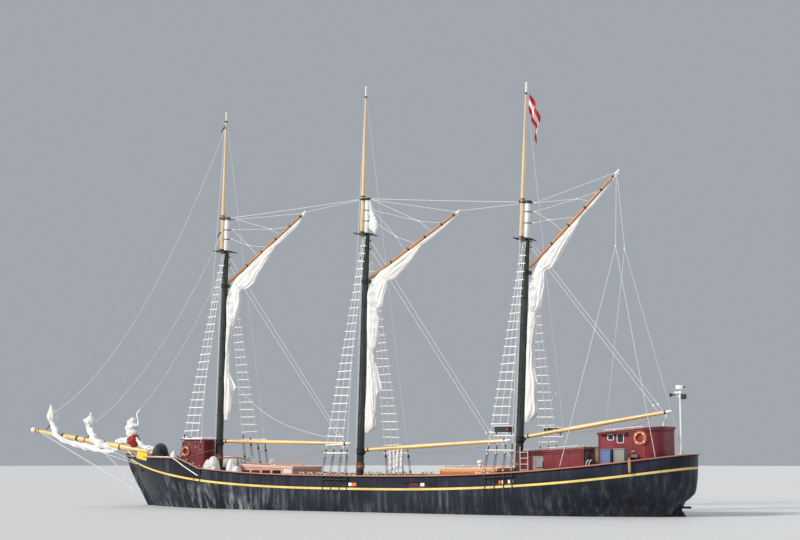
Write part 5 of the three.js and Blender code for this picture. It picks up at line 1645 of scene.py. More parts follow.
# Each lowered jib in parts, (x, y, z, half width) along each from its head, and its area once cut.
JIBS = {
    "outer": dict(parts=[[
        (11.815, 0, 3.38, 0.02), (11.78, 0, 3.24, 0.07), (11.74, 0, 3.06, 0.20), (11.71, 0, 2.92, 0.17),
        (11.69, 0, 2.78, 0.10), (11.62, 0.02, 2.64, 0.13), (11.50, 0.06, 2.50, 0.12),
        (11.36, 0.12, 2.33, 0.10), (11.16, 0.08, 2.19, 0.09), (10.90, 0.02, 2.09, 0.09),
        (10.48, 0, 2.00, 0.10), (10.07, 0, 1.93, 0.11), (9.67, 0, 1.86, 0.11), (9.27, 0, 1.79, 0.09),
        (8.88, 0, 1.76, 0.05)]], area=5.6),
    "middle": dict(parts=[[
        (9.955, 0, 3.10, 0.02), (9.96, 0, 2.99, 0.07), (9.97, 0, 2.84, 0.20), (10.00, 0, 2.70, 0.19),
        (10.02, 0, 2.56, 0.12), (9.90, 0.02, 2.42, 0.12), (9.74, 0.10, 2.24, 0.12), (9.56, 0.12, 2.10, 0.12),
        (9.34, 0.06, 2.00, 0.12), (9.05, 0, 1.91, 0.10), (8.70, 0, 1.85, 0.05)]], area=4.4),
    "inner": dict(parts=[
        [(7.74, 0, 3.20, 0.015), (7.83, 0, 3.12, 0.03), (7.92, 0, 3.00, 0.03), (7.87, 0, 2.84, 0.025),
         (7.86, 0, 2.66, 0.04), (7.92, 0, 2.52, 0.03)],
        [(8.17, 0, 2.90, 0.03), (8.14, 0, 2.82, 0.12), (8.12, 0, 2.68, 0.19), (8.10, 0, 2.50, 0.23),
         (8.08, 0, 2.32, 0.20), (8.04, 0, 2.12, 0.15), (8.0, 0, 1.98, 0.10)],
        [(8.84, 0, 2.09, 0.04), (8.66, 0, 2.12, 0.09), (8.45, 0, 2.14, 0.10), (8.22, 0, 2.16, 0.08)],
        [(7.86, 0.10, 2.22, 0.04), (7.70, 0.10, 2.06, 0.07), (7.48, 0.08, 1.90, 0.08),
         (7.20, 0.06, 1.86, 0.09), (7.00, 0.0, 1.84, 0.04)]], area=4.4),
}
JIB_CUT = (2.4, 4.6)


def evenly(points, count):
    """A smooth curve through the points, sampled at equal lengths."""
    fine = smooth_path(points, 24 * len(points))
    run = np.concatenate([[0], np.cumsum(np.linalg.norm(np.diff(fine[:, :3], axis=0), axis=1))])
    at = np.linspace(0, run[-1], count)
    return np.stack([np.interp(at, run, fine[:, k]) for k in range(fine.shape[1])], -1)


def valley(x):
    """A sharp valley each time the sine passes zero, with rounded cloth between."""
    return (1 - np.abs(np.sin(x))) ** 3


def rounded(wave):
    """A wave from -1 to 1 made fuller: its size raised to a power below one."""
    return np.sign(wave) * np.abs(wave) ** 0.85


def either_side(path, wide):
    """Two edges that lie either side of a curve, at right angles to it in the centre plane."""
    along = unit(np.gradient(path, axis=0))
    across = unit(np.stack([along[:, 2], 0 * wide, -along[:, 0]], -1)) * wide[:, None]
    return path - across, path + across


def bundle(pile, inner, outer, half, folds, cut, seed, pinches=(), around=72, ripple=0.05):
    """A gathered sheet: folds to and fro inside, and its last cloth wrapped round them as a skin.

    Across the bundle the folds are a sine of the share w that runs back from the free edge; the skin is an
    ellipse, from one side of the inner edge past the free edge to the other side. Valleys that drift along
    the bundle crease the skin, and each pinch narrows the whole section.
    """
    rows = len(inner)
    s = np.linspace(0, 1, rows)[:, None]
    w = np.linspace(0, 1, folds * 8 + 1)[None, :]
    pinch = 1 - 0.42 * sum((np.exp(-(((s - p) / 0.016) ** 2)) for p in pinches), 0 * s)
    deep_in = 0.84 - 0.70 * w + 0 * s
    aside_in = 0.60 * np.sin(2 * math.pi * folds * w + 0 * s)
    turn = np.linspace(2.9, -2.9, around)[None, :]
    lump = 0.10 * np.sin(9 * s + seed) + 0.07 * np.sin(21 * s + 2 * seed)
    lump = lump + 0.05 * np.sin(3 * turn + 16 * s + seed)
    crease = 0.30 * valley(1.5 * turn + 3.0 * np.sin(2.3 * s + seed) + seed)
    crease = crease + 0.24 * valley(2.5 * turn + 9.0 * s + 2.0 * np.sin(5.0 * s + 2 * seed))
    crease = crease + 0.13 * valley(4.0 * turn - 16.0 * s + 3.0 * np.sin(7.0 * s + seed))
    swell = 1 + lump - crease
    deep_out = 0.5 + 0.52 * rounded(np.cos(turn)) * (0.55 + 0.45 * swell)
    aside_out = rounded(np.sin(turn)) * swell
    deep = np.concatenate([deep_in, deep_out], 1) * (0.35 + 0.65 * pinch)
    aside = np.concatenate([aside_in, aside_out], 1) * pinch
    aside = aside + ripple * np.sin(60 * s + 14 * deep + seed)
    half = np.broadcast_to(np.asarray(half, float), (rows,))[:, None]
    ends = np.interp(s[:, 0], [0, 0.03, 0.97, 1], [0.35, 1, 1, 0.5])[:, None]
    points = inner[:, None] + (outer - inner)[:, None] * deep[:, :, None]
    points = points + (half * ends * aside)[:, :, None] * np.array([0.0, 1.0, 0.0])
    across = np.linspace(0, cut[0], points.shape[1])[None, :]
    uv = np.stack(np.broadcast_arrays(across, (1 - s) * cut[1]), -1)
    pile.grid(points, wrap=False, uv=uv)


def hanging_corner(pile, top, tip, low, seed):
    """A loose corner: a triangle fanned out from its top, waved more towards its free edge."""
    u, v = np.meshgrid(np.linspace(0, 1, 14), np.linspace(0.02, 1, 30))
    top, tip, low = (plane(*p) for p in (top, tip, low))
    points = top + v[:, :, None] * ((tip - top) + u[:, :, None] * (low - tip))
    points[:, :, 1] += 0.05 * v * np.sin(6 * u + seed) + 0.035
    pile.grid(points, wrap=False)


def loop_round(pile, centre, first, second, radius):
    """A closed cord round an ellipse given by its two half axes."""
    turn = np.linspace(0, 2 * math.pi, 33)
    grid = rings(centre + np.cos(turn)[:, None] * first + np.sin(turn)[:, None] * second, radius, 6)
    grid[-1] = grid[0]
    pile.grid(grid, caps=(False, False))


class SCHOONER_OT_sails(SchoonerBuilder, Operator):
    """Gaff sails brailed up to their gaffs and masts, with the brails round them"""

    bl_idname = "schooner.sails"
    bl_label = "Gaff sails"

    def build(self, scene):
        for seed, (name, sail) in enumerate(SAILS.items()):
            self.one(name, sail, scene.schooner_sails, 1.3 + 2.4 * seed)

    def one(self, name, sail, sizes, seed):
        """A sail gathered between the spars and its free edge, with two turns of cord at each brail."""
        mast = MASTS[name]
        gaff = [on_spar(name, "gaff", share) for share in (0.985, 0.8, 0.6, 0.4, 0.2, 0.09)]
        along = unit(gaff[0] - gaff[-1])
        below = np.array([along[2], 0, -along[0]])
        below = below if below[2] < 0 else -below
        inner = [point + below * 0.068 for point in gaff]
        foot_up = in_mast(mast, *sail["edge"][-1])[1]
        for up in np.linspace(mast["gaff"] - 0.30, foot_up, 6):
            inner.append(mast_point(mast, up, -mast_radius(mast, up) - 0.034))
        edge = [plane(x, z) for x, z in sail["edge"]]
        inner, outer = evenly(inner, sizes.along), evenly(edge, sizes.along)
        depth = np.linalg.norm(outer - inner, axis=1)
        half = np.clip(0.42 * depth, 0.05, 0.112)
        pile = Pile()
        bundle(pile, inner, outer, half, sizes.folds, SAIL_CUT, seed, sail["brails"], around=sizes.around)
        hanging_corner(pile, *sail["flap"], seed)
        piece = pile.make(
            f"gathered_sail_{name}", finish("sailcloth"), f"{name}_gaff", [f"sail_{name}"],
            slot="sailcloth", angle=180)
        ties = Pile()
        for share in sail["brails"]:
            i = int(share * (sizes.along - 1))
            reach = (outer[i] - inner[i]) * 0.34
            centre = inner[i] + reach * 1.03
            aside = np.array([0, half[i] * 0.62, 0])
            loop_round(ties, centre, reach * 1.02, aside, 0.0065)
            loop_round(ties, centre + [0, 0, 0.02], reach, aside, 0.0065)
        ties.make(f"brails_{name}", finish("white_rope"), f"{name}_gaff", slot="wire")


class SCHOONER_OT_jibs(SchoonerBuilder, Operator):
    """Jibs lowered in heaps on the bowsprit, with their heads still up the stays"""

    bl_idname = "schooner.jibs"
    bl_label = "Jibs"

    def build(self, scene):
        for seed, (name, jib) in enumerate(JIBS.items()):
            pile = Pile()
            for i, part in enumerate(jib["parts"]):
                self.part(pile, np.array(part, float), 0.7 + 1.9 * seed + i)
            piece = pile.make(
                f"gathered_jib_{name}", finish("sailcloth"), replaces=[f"jib_{name}"],
                slot="sailcloth", angle=180)
        self.red_bag()

    def part(self, pile, table, seed):
        """One bundle along a curve, whose width swells and shrinks as a sine."""
        count = 36 + 18 * len(table)
        line = evenly(table, count)
        wide = line[:, 3] * (1 + 0.16 * np.sin(np.arange(count) * 0.16 + seed))
        bundle(pile, *either_side(line[:, :3], wide), wide * 0.85, 6, JIB_CUT, seed, ripple=0.0)

    def red_bag(self):
        """A red sail bag lashed down over the foot of the inner jib."""
        pile = Pile()
        table = np.array([
            (8.12, 0.02, 2.34, 0.07), (8.06, 0.03, 2.24, 0.17), (8.00, 0.03, 2.10, 0.19),
            (7.96, 0.03, 2.00, 0.15), (7.93, 0.03, 1.94, 0.06)])
        line = evenly(table, 60)
        wide = line[:, 3]
        bundle(pile, *either_side(line[:, :3], wide), wide * 1.15, 2, (0.9, 0.7), 4.0, ripple=0.0)
        piece = pile.make("red_sail_bag", finish("red_canvas"), slot="sailcloth", angle=180)


class SCHOONER_OT_flag(SchoonerBuilder, Operator):
    """Limp flag at the mizzen topmast, and the topsail bunched behind the main masthead"""

    bl_idname = "schooner.flag"
    bl_label = "Flag"

    def build(self, scene):
        self.flag()
        self.bunched()

    def flag(self):
        """Hangs from two points of its halyard: width folds up as it falls away from the hoist."""
        mast = MASTS["mizzen"]
        u, v = np.meshgrid(np.linspace(0, 1, 50), np.linspace(0, 1, 34))
        drop = 0.60 * v + 0.98 * u**1.15
        away = 0.085 + 0.36 * np.sin(u * 1.5) * (1 - 0.25 * v) - 0.05 * v * u
        fold = 0.085 * np.sin(12.5 * u + 3.2 * v + 0.5) * np.minimum(1, 3 * u)
        fold = fold + 0.02 * np.sin(23 * u - 6 * v)
        head = mast_point(mast, backstay_up(mast), TOPMAST_AHEAD)
        points = np.stack([head[0] - away, head[1] + fold, head[2] - drop], -1)
        pile = Pile()
        pile.grid(points, wrap=False, uv=np.stack([u * 1.5, 1 - v], -1))
        piece = pile.make("flag", finish("flag_cloth"), slot="sailcloth", angle=180)
        line = Pile()
        low = mast_point(mast, mast["hounds"] + DOUBLING + 0.2, TOPMAST_AHEAD - 0.075)
        line.rod(low, head + [-0.055, 0.0, 0.20], 0.0035, 6)
        for z in (0.0, -0.60):
            line.rod(head + [-0.060, 0, z], head + [-0.088, 0, z], 0.006, 6)
        line.make("flag_halyard", finish("white_rope"), slot="wire")

    def bunched(self):
        """A white stopped-up topsail, hung behind the doubling of the mainmast."""
        mast = MASTS["main"]
        free = ((-1.30, 9.60), (-1.36, 9.36), (-1.45, 9.05), (-1.58, 8.76), (-1.47, 8.47))
        edge = [plane(x, z) for x, z in free]
        near = [mast_point(mast, up, -0.088) for up in (9.60, 9.3, 9.0, 8.76, 8.66)]
        pile = Pile()
        bundle(pile, evenly(near, 90), evenly(edge, 90), 0.07, 3, (1.5, 1.1), 5.0)
        piece = pile.make("stowed_topsail", finish("sailcloth"), slot="sailcloth", angle=180)


# Deck houses

# Houses: aft and fore ends, half width, height of the roof's edge at each end, and seams up the sides.
HOUSES = {
    "fore_house": dict(x0=4.680, x1=5.560, half=0.500, z0=2.120, z1=2.135, seams=(5.12,)),
    "trunk_cabin_fore": dict(x0=1.020, x1=2.990, half=0.800, z0=1.270, z1=1.335, seams=()),
    "trunk_cabin_main": dict(x0=-6.020, x1=-4.170, half=0.760, z0=1.255, z1=1.240, seams=()),
    "deckhouse": dict(x0=-8.755, x1=-6.725, half=0.800, z0=1.850, z1=1.725, seams=(-7.82, -8.30)),
    "wheelhouse": dict(x0=-10.955, x1=-9.195, half=0.800, z0=2.405, z1=2.255, seams=(-9.70, -10.20)),
}
# Finishes of the walls, the trim and the roof.
TRIM = {
    "fore_house": ("house_paint", "dark_red_paint", "house_paint"),
    "trunk_cabin_fore": ("rose_paint", "rose_paint", "trunk_roof_paint"),
    "trunk_cabin_main": ("cabin_wood", "cabin_wood", "roof_wood"),
    "deckhouse": ("house_paint", "dark_red_paint", "house_paint"),
    "wheelhouse": ("house_paint", "dark_red_paint", "house_paint"),
}
# Windows on both long sides: house, middle x, middle height, width, height, corner radius.
WINDOWS = [
    *(("trunk_cabin_fore", x, 1.125, 0.27, 0.085, 0.012) for x in (1.62, 2.02, 2.42, 2.80)),
    ("wheelhouse", -9.56, 2.150, 0.150, 0.130, 0.02), ("wheelhouse", -9.845, 2.125, 0.170, 0.235, 0.02),
]
WHEELHOUSE_CORNER = 0.5
# Life rings: where they hang, middle and radius.
LIFE_RINGS = (("aft", (-10.43, 0.832, 2.125), 0.150), ("fore", (5.41, 0.532, 1.773), 0.125))
# Lamps on the roofs: x, y, z and slot.
ROOF_LAMPS = ((-8.678, 0.60, 1.90, 0), (-9.35, 0.0, 2.33, 1), (4.9, 0.3, 2.19, 1))


def roof_z(house, x):
    return house["z0"] + (house["z1"] - house["z0"]) * (x - house["x0"]) / (house["x1"] - house["x0"])


def round_rect(wide, high, radius, steps=5):
    """Points round a rectangle with rounded corners, anticlockwise."""
    turn = np.linspace(0, math.pi / 2, steps)
    arc = np.stack([np.cos(turn), np.sin(turn)], -1) * radius
    corner = np.array([wide / 2 - radius, high / 2 - radius])
    quarters = np.array([[[1, 0], [0, 1]], [[0, 1], [-1, 0]], [[-1, 0], [0, -1]], [[0, -1], [1, 0]]])
    signs = [(1, 1), (-1, 1), (-1, -1), (1, -1)]
    return np.concatenate([arc @ quarter + corner * s for quarter, s in zip(quarters, signs)])


def framed(pile, centre, out, wide, high, radius, bar, proud, frame_slot, pane_slot):
    """A pane in a raised frame: a rounded rectangle lifted off the wall, its outer loop first."""
    out = unit(out)
    right = unit(np.cross((0, 0, 1.0), out))
    up = np.cross(out, right)
    c = bar * 0.25
    inner = round_rect(wide, high, radius)
    outer = round_rect(wide + 2 * bar, high + 2 * bar, radius + bar)
    middle = round_rect(wide + 2 * bar - 2 * c, high + 2 * bar - 2 * c, radius + bar - c)
    frame_rows = [(outer, -0.004), (outer, proud - c), (middle, proud), (inner, proud), (inner, -0.004)]
    pane_rows = [(inner, -0.004), (inner, proud * 0.25)]
    for rows, slot, caps in ((frame_rows, frame_slot, (False, False)), (pane_rows, pane_slot, (True, True))):
        grid = np.array([centre + f[:, :1] * right + f[:, 1:] * up + out * lift for f, lift in rows])
        pile.grid(grid, caps=caps, slot=slot)


def ribbon(x, corners):
    """A strip along X from its corners, each a pair of y and z that may change along it."""
    return np.stack([np.stack(np.broadcast_arrays(x, y, z), -1) for y, z in corners], 1)


def dress(node, name):
    """Gives a solid that stays in view its material, joined corners and a small round on its edges."""
    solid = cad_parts[node]
    solid.data.materials.clear()
    solid.data.materials.append(finish(name))
    solid.data.polygons.foreach_set("material_index", np.zeros(len(solid.data.polygons), np.int32))
    weld = solid.modifiers.new("Weld", "WELD")
    weld.merge_threshold = 1e-4
    bevel = solid.modifiers.new("Round", "BEVEL")
    bevel.width, bevel.segments, bevel.limit_method, bevel.angle_limit = 0.004, 2, "ANGLE", math.radians(35)


class SCHOONER_OT_houses(SchoonerBuilder, Operator):
    """Trim, windows, roof edges and fittings of the deck houses and cabins"""

    bl_idname = "schooner.houses"
    bl_label = "Deck houses"

    def build(self, scene):
        on_solids = {"cabin_wood": "cabin_wood_solid", "roof_wood": "roof_wood_solid"}
        for name, house in HOUSES.items():
            self.trim(name, house)
            wall, _, roof = TRIM[name]
            dress(name + "_walls" if name in ("deckhouse", "wheelhouse") else name, on_solids.get(wall, wall))
            if name != "fore_house":
                dress(f"{name}_roof", on_solids.get(roof, roof))
        dress("deck", "deck_planks")
        dress("deckhouse_door", "grey_paint")
        dress("wheelhouse_door", "dark_red_paint")
        self.doors()
        self.windows()
        self.visor()
        self.life_rings()
        self.roof_fittings()

    def outline(self, house, grow, corner, steps=9):
        """Plan outline of a house, anticlockwise, its two aft corners rounded."""
        x0, x1, half = house["x0"] - grow, house["x1"] + grow, house["half"] + grow
        radius = max(corner, 0.02)
        turn = np.linspace(0, math.pi / 2, steps)
        aft_port = np.stack([x0 + radius - radius * np.sin(turn), half - radius + radius * np.cos(turn)], -1)
        aft_star = aft_port[::-1] * [1, -1]
        front = np.array([[x1, -half], [x1, half]])
        return np.concatenate([front, aft_port, aft_star])

    def trim(self, name, house):
        """Mouldings round the roof and foot, corner posts, and seams up the sides."""
        corner = WHEELHOUSE_CORNER if name == "wheelhouse" else 0.0
        pile = Pile()
        for grow, drop, thick, high, slot in ((0.030, 0.0, 0.016, 0.040, 0), (0.0, -0.10, 0.009, 0.045, 1)):
            loop = self.outline(house, grow, corner)
            path = np.column_stack([loop, roof_z(house, loop[:, 0]) + 0.020 + drop])
            path = np.concatenate([path, path[:1]])
            away = unit(path[:-1] * [1, 1, 0] - [(house["x0"] + house["x1"]) / 2, 0, 0])
            away = np.concatenate([away, away[:1]])
            turn = np.linspace(-math.pi / 2, math.pi / 2, 7)
            moulding = [(thick * math.cos(t), high / 2 * math.sin(t)) for t in turn]
            section = [(-0.004, -high / 2), *moulding, (-0.004, high / 2)]
            pile.grid(level_section(path, section, away)[:, ::-1], caps=(False, False), slot=slot)
        for sign in SIDES.values():
            side = sign * house["half"]
            places = [(house["x1"] - 0.02, 0.05), *((x, 0.016) for x in house["seams"])]
            if not corner:
                places.append((house["x0"] + 0.02, 0.05))
            for x, wide in places:
                foot, top = float(deck_top(x)), roof_z(house, x) - 0.002
                out = house["half"] + (0.010 if wide > 0.03 else 0.005)
                low, high = (x - wide / 2, house["half"], foot), (x + wide / 2, out, top)
                pile.side_box(sign, low, high, 1, chamfer=0.2)
            x = np.linspace(house["x0"] + corner, house["x1"], 12)
            foot, near, far = deck_top(x), side - sign * 0.002, side + sign * 0.014
            corners = ((near, foot - 0.002), (far, foot - 0.002), (far, foot + 0.045), (near, foot + 0.055))
            grid = ribbon(x, corners)
            pile.grid(grid if sign < 0 else grid[:, ::-1], slot=1)
            top = np.linspace(house["x0"] + 0.2 + corner * 0.6, house["x1"] - 0.12, 5)
            rail = np.stack([top, 0 * top + sign * (house["half"] - 0.10), roof_z(house, top) + 0.085], -1)
            pile.tube(rail, 0.011, 8, 2)
            for point in rail[::2] if name == "fore_house" else rail:
                pile.rod(point - [0, 0, 0.052], point, 0.009, 8, 2)
        _, trim, roof = TRIM[name]
        hand = "rail_wood" if name.startswith("trunk") else "white_paint"
        pile.make(f"trim_{name}", finishes(roof, trim, hand), slot="house_paint", angle=35)

    def windows(self):
        """Framed panes on both long sides, three at the wheelhouse's front and two at the deckhouse's."""
        pile = Pile()
        for name, x, z, wide, high, radius in WINDOWS:
            house = HOUSES[name]
            slot = 1 if name == "wheelhouse" else 0
            for sign in SIDES.values():
                centre = np.array([x, sign * house["half"], z])
                framed(pile, centre, (0, sign, 0), wide, high, radius, 0.020, 0.016, slot, 2)
        for y in (-0.52, -0.18, 0.12):
            framed(pile, np.array([-9.195, y - 0.06, 2.05]), (1, 0, 0), 0.24, 0.20, 0.02, 0.02, 0.016, 1, 2)
        for y in (-0.45, 0.45):
            framed(pile, np.array([-6.725, y, 1.45]), (1, 0, 0), 0.2, 0.2, 0.1, 0.02, 0.016, 0, 2)
        looks = finishes("dark_red_paint", "white_paint", "window_glass")
        pile.make("house_windows", looks, slot="white_paint", angle=35)

    def doors(self):
        """Panels and handles that swing with the two doors."""
        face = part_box("deckhouse_door")[1][1]
        x, z = -7.385, 1.40
        pile = Pile()
        for lift in (0.02, -0.28):
            centre = np.array([x, face - 0.0005, z + lift])
            framed(pile, centre, (0, 1, 0), 0.20, 0.16, 0.02, 0.014, 0.008, 0, 0)
        pile.ball((x - 0.13, face + 0.022, z - 0.14), 0.016, slot=2, sides=12)
        looks = finishes("grey_paint", "window_glass", "bronze")
        pile.make("deckhouse_door_fittings", looks, "deckhouse_door", slot="grey_paint")
        pile = Pile()
        framed(pile, np.array([-9.1755, 0.455, 2.03]), (1, 0, 0), 0.17, 0.20, 0.02, 0.014, 0.010, 0, 1)
        pile.ball((-9.155, 0.33, 1.72), 0.016, slot=2, sides=12)
        looks = finishes("white_paint", "window_glass", "bronze")
        pile.make("wheelhouse_door_fittings", looks, "wheelhouse_door", slot="grey_paint")

    def visor(self):
        """Dark red strips that stand out from the wheelhouse's sides under the front of its roof's edge, with
        a slight wave in their edge: painted shade of the roof's edge, given a little depth.
        """
        pile = Pile()
        # These strips are painted shade under the roof's edge, over the side windows.
        x = np.linspace(-10.05, -9.24, 8)
        top = 2.30 + 0.006 * np.sin(9 * x)
        for sign in SIDES.values():
            near, far, lip = sign * 0.798, sign * 0.905, sign * 0.915
            grid = ribbon(x, ((near, top), (far, top - 0.045), (lip, top - 0.062), (near, top - 0.03)))
            pile.grid(grid if sign > 0 else grid[:, ::-1], slot=0)
        pile.make("wheelhouse_visor", finish("dark_red_paint"), slot="house_paint", angle=30)

    def life_rings(self):
        """Rings with four white bands and a line that stands out between them."""
        for label, centre, radius in LIFE_RINGS:
            ring = Pile()
            centre = np.array(centre)
            ring.torus(centre, (0, 1, 0), radius, 0.030, 0, 48, 14)
            for turn in range(4):
                start = math.pi / 4 + turn * math.pi / 2
                ring.torus(centre, (0, 1, 0), radius, 0.0325, 1, 8, 14, share=0.035, start=start)
            sway = np.linspace(0, 2 * math.pi, 65)
            reach = radius + 0.040 + 0.010 * np.abs(np.sin(2 * sway))
            path = centre + np.stack([reach * np.cos(sway), 0 * sway, reach * np.sin(sway)], -1)
            grid = rings(path, 0.006, 6)
            grid[-1] = grid[0]
            ring.grid(grid, caps=(False, False), slot=2)
            looks = finishes("orange_paint", "white_paint", "tan_rope")
            ring.make(f"life_ring_{label}", looks, slot="white_paint")

    def roof_fittings(self):
        """Lamps on the roofs, a vent and a ring on the main trunk cabin, boards, and two ladders."""
        pile = Pile()
        for x, y, z, slot in ROOF_LAMPS:
            pile.rod((x, y, z - 0.06), (x, y, z - 0.01), 0.012, 10, 2)
            pile.ball((x, y, z + 0.02), 0.034, slot=slot)
        pile.torus((-4.77, 0.45, 1.285), (0, 1, 0), 0.085, 0.011, 1, 24, 8, share=0.5)
        vent = [
            (0.05, 1.27), (0.05, 1.42), (0.09, 1.43), (0.098, 1.46), (0.085, 1.49), (0.04, 1.515),
            (0.01, 1.52)]
        pile.grid(lathe(vent, 20) + [-5.24, 0.30, 0.0], slot=1)
        for x in (-5.42, -5.68):
            pile.box((x - 0.10, 0.758, 1.08), (x + 0.10, 0.772, 1.18), 3, chamfer=0.2)
        pile.box((1.05, 0.798, 1.09), (1.34, 0.814, 1.26), 1, chamfer=0.2)
        uprights = (-6.82, -7.06)
        for sign in SIDES.values():
            wall, out = sign * 0.80, sign * 0.875
            for x in uprights:
                pile.rod((x, out, 1.02), (x, out, 1.90), 0.012, 8, 1)
            for z in np.linspace(1.08, 1.74, 5):
                pile.rod((uprights[0], out, z), (uprights[1], out, z), 0.009, 8, 1)
            for x in uprights:
                pile.rod((x, wall, 1.70), (x, out, 1.70), 0.008, 8, 1)
        looks = finishes("name_board", "white_paint", "iron", "roof_wood")
        pile.make("roof_fittings", looks, slot="white_paint", angle=35)


# Deck gear, ropes and canvas

# Side-light boards: aft and fore ends, lower and upper edges.
BLACK_BOARD = (-6.99, -6.40, 2.30, 2.46)
# Bow's pipe rail, from the stem aft: x and z.
PIPE_RAIL = [
    (8.07, 1.78), (7.57, 1.63), (7.10, 1.60), (6.40, 1.60), (5.70, 1.60), (5.05, 1.56), (4.45, 1.30),
    (3.88, 1.03)]
# Where hanks hang inside the rail.
HANKS = (0.05, -0.26, -0.56, -0.95, -1.28, -1.62, -2.24, -2.53, -4.50)
# Slack ropes under the booms: x and z along each.
SLACK = {
    "fore": [
        (3.782, 2.045), (3.0, 1.82), (2.2, 1.66), (1.670, 1.594), (1.290, 1.583), (0.6, 1.74),
        (-0.127, 1.950)],
    "main": [(-2.05, 1.790), (-2.7, 1.74), (-3.398, 1.730), (-4.3, 1.78), (-5.1, 1.90), (-5.645, 2.020)],
    "mizzen": [(-7.90, 2.310), (-8.6, 2.33), (-9.654, 2.430), (-10.1, 2.54), (-10.399, 2.660)],
}
CLEW_ROPE = ((3.800, 3.86), (3.608, 3.708), (2.927, 3.151), (2.065, 2.696), (1.297, 2.438), (0.319, 2.214))
# What shows in the freeing ports: which port, start and end as shares of its length from forward, slot.
PORT_CHOCKS = (
    (0, 0.02, 0.40, 0), (0, 0.45, 0.95, 1), (1, 0.05, 0.62, 2), (1, 0.70, 0.95, 0),
    (2, 0.08, 0.18, 1), (2, 0.25, 0.36, 0), (2, 0.62, 0.75, 0), (2, 0.84, 0.93, 0),
)


def beside(x, z, inset):
    """How far out from the centre plane a place is that lies inset from the skin."""
    return float(skin_y(x, z)) - inset


def free_rope(name, path, width, look, body="root"):
    """A free limp cord: a round tube along its centre line."""
    path = np.asarray(path, float)
    pile = Pile()
    pile.tube(path, width / 2, 8)
    piece = pile.make(name, finish(look), body, slot="wire")


def coil(centre, first, second, stack, start):
    """Four and a half loops of an ellipse with half axes first and second, each moved on by stack."""
    turns, points_each = 4.5, 22
    t = start + np.linspace(0, 2 * math.pi * turns, int(points_each * turns) + 1)
    run = (t - start) / (2 * math.pi)
    loose = 1 + 0.05 * np.sin(1.7 * t) + 0.03 * np.sin(0.6 * t)
    across, up = (loose * np.cos(t))[:, None], (loose * np.sin(t))[:, None]
    path = np.asarray(centre, float) + across * first + up * second
    return path + run[:, None] * np.asarray(stack, float)


def heap(pile, centre, half_x, half_y, high, seed, top=0.0):
    """A stuffed bag: radius sqrt(1 - rise^3.2) over a flat foot, creased by valleys that drift upward."""
    turn = np.linspace(0, 2 * math.pi, 73)[:-1][None, :]
    rise = np.linspace(0, 0.995, 40)[:, None]
    crease = 0.16 * valley(2.5 * turn + 2.4 * rise + 1.4 * np.sin(3 * rise + seed))
    crease = crease + 0.14 * valley(1.5 * turn - 5 * rise + seed + 1.5 * np.sin(2 * turn + seed))
    crease = crease + 0.10 * valley(1.0 * turn + 8 * rise + 2.5 * np.sin(turn + seed))
    crease = crease * np.sqrt(np.sin(math.pi * (0.08 + 0.9 * rise)))
    radius = np.sqrt(1 - rise**3.2) * (0.90 + 0.10 * np.minimum(1, rise * 7)) * (1 - crease)
    x, y = half_x * radius * np.cos(turn), half_y * radius * np.sin(turn)
    z = high * rise * (1 + 0.16 * np.sin(turn + seed) * (1 - rise)) + top * rise**6
    pile.grid(np.stack([x, y, z + 0 * x], -1) + np.asarray(centre, float))


class SCHOONER_OT_ropes(SchoonerBuilder, Operator):
    """Slack running rigging and coils of rope, each a free cord of its own length"""

    bl_idname = "schooner.ropes"
    bl_label = "Slack ropes"

    def build(self, scene):
        for name, points in SLACK.items():
            path = smooth_path([plane(x, z) for x, z in points], 60)
            for end in (0, -1):
                place = on_spar(name, "boom", share_at(name, "boom", path[end][0]))
                path[end] = place - np.array([0, 0, 0.068])
            free_rope(f"lazy_rope_{name}", path, 0.018, "tan_rope", f"{name}_boom")
        path = smooth_path([plane(x, z) for x, z in CLEW_ROPE], 60)
        free_rope("clew_rope_fore", path, 0.018, "white_rope", "fore_gaff")
        self.hanks()
        self.coils()

    def hanks(self):
        """Hanks hung over belaying pins inside the rail, on both sides."""
        half_high, start_high = 0.125, 0.05
        start = math.asin(start_high / half_high)
        pin = lathe([(0.008, -0.10), (0.011, 0.0), (0.015, 0.01), (0.016, 0.06), (0.010, 0.085)], 10)
        pins = Pile()
        for side, sign in SIDES.items():
            for i, x in enumerate(HANKS):
                top = float(rail_z(x)) + 0.034
                inner = beside(x, top, BULWARK_T + 0.030)
                pins.grid(pin + [x, sign * (inner + 0.030), top])
                path = coil(
                    (x, sign * (inner - 0.014), top - 0.065), np.array([0.105, 0, 0]),
                    np.array([0, 0, half_high]), (0.004, -sign * 0.022, 0), start)
                free_rope(f"hank_{side}_{i}", path, 0.015, "white_rope")
        pins.make("belaying_pins", finish("topmast_wood"), slot="rail_wood")

    def coils(self):
        """Coils hung on the wheelhouse and the deckhouse's after wall, and a line from the fore ring."""
        coils = (
            ("wheelhouse", (-9.178, 0.715, 1.655), 0.062, 0.19, (0.024, 0, 0.002), 0.018, "tan_rope"),
            ("deckhouse", (-8.774, 0.742, 1.60), 0.048, 0.16, (-0.022, 0, 0), 0.016, "dark_rope"),
        )
        for label, centre, wide, high, stack, thick, look in coils:
            path = coil(centre, np.array([0, wide, 0]), np.array([0, 0, high]), stack, math.pi / 2)
            free_rope(f"coil_{label}", path, thick, look)
        points = [(5.265, 0.512, 1.603), (4.95, 0.530, 1.665), (4.65, 0.52, 1.745), (4.48, 0.32, 1.81)]
        path = smooth_path([*points, mast_point(MASTS["fore"], 1.878, 0.055, 0.118)], 40)
        free_rope("ring_line", path, 0.012, "tan_rope")


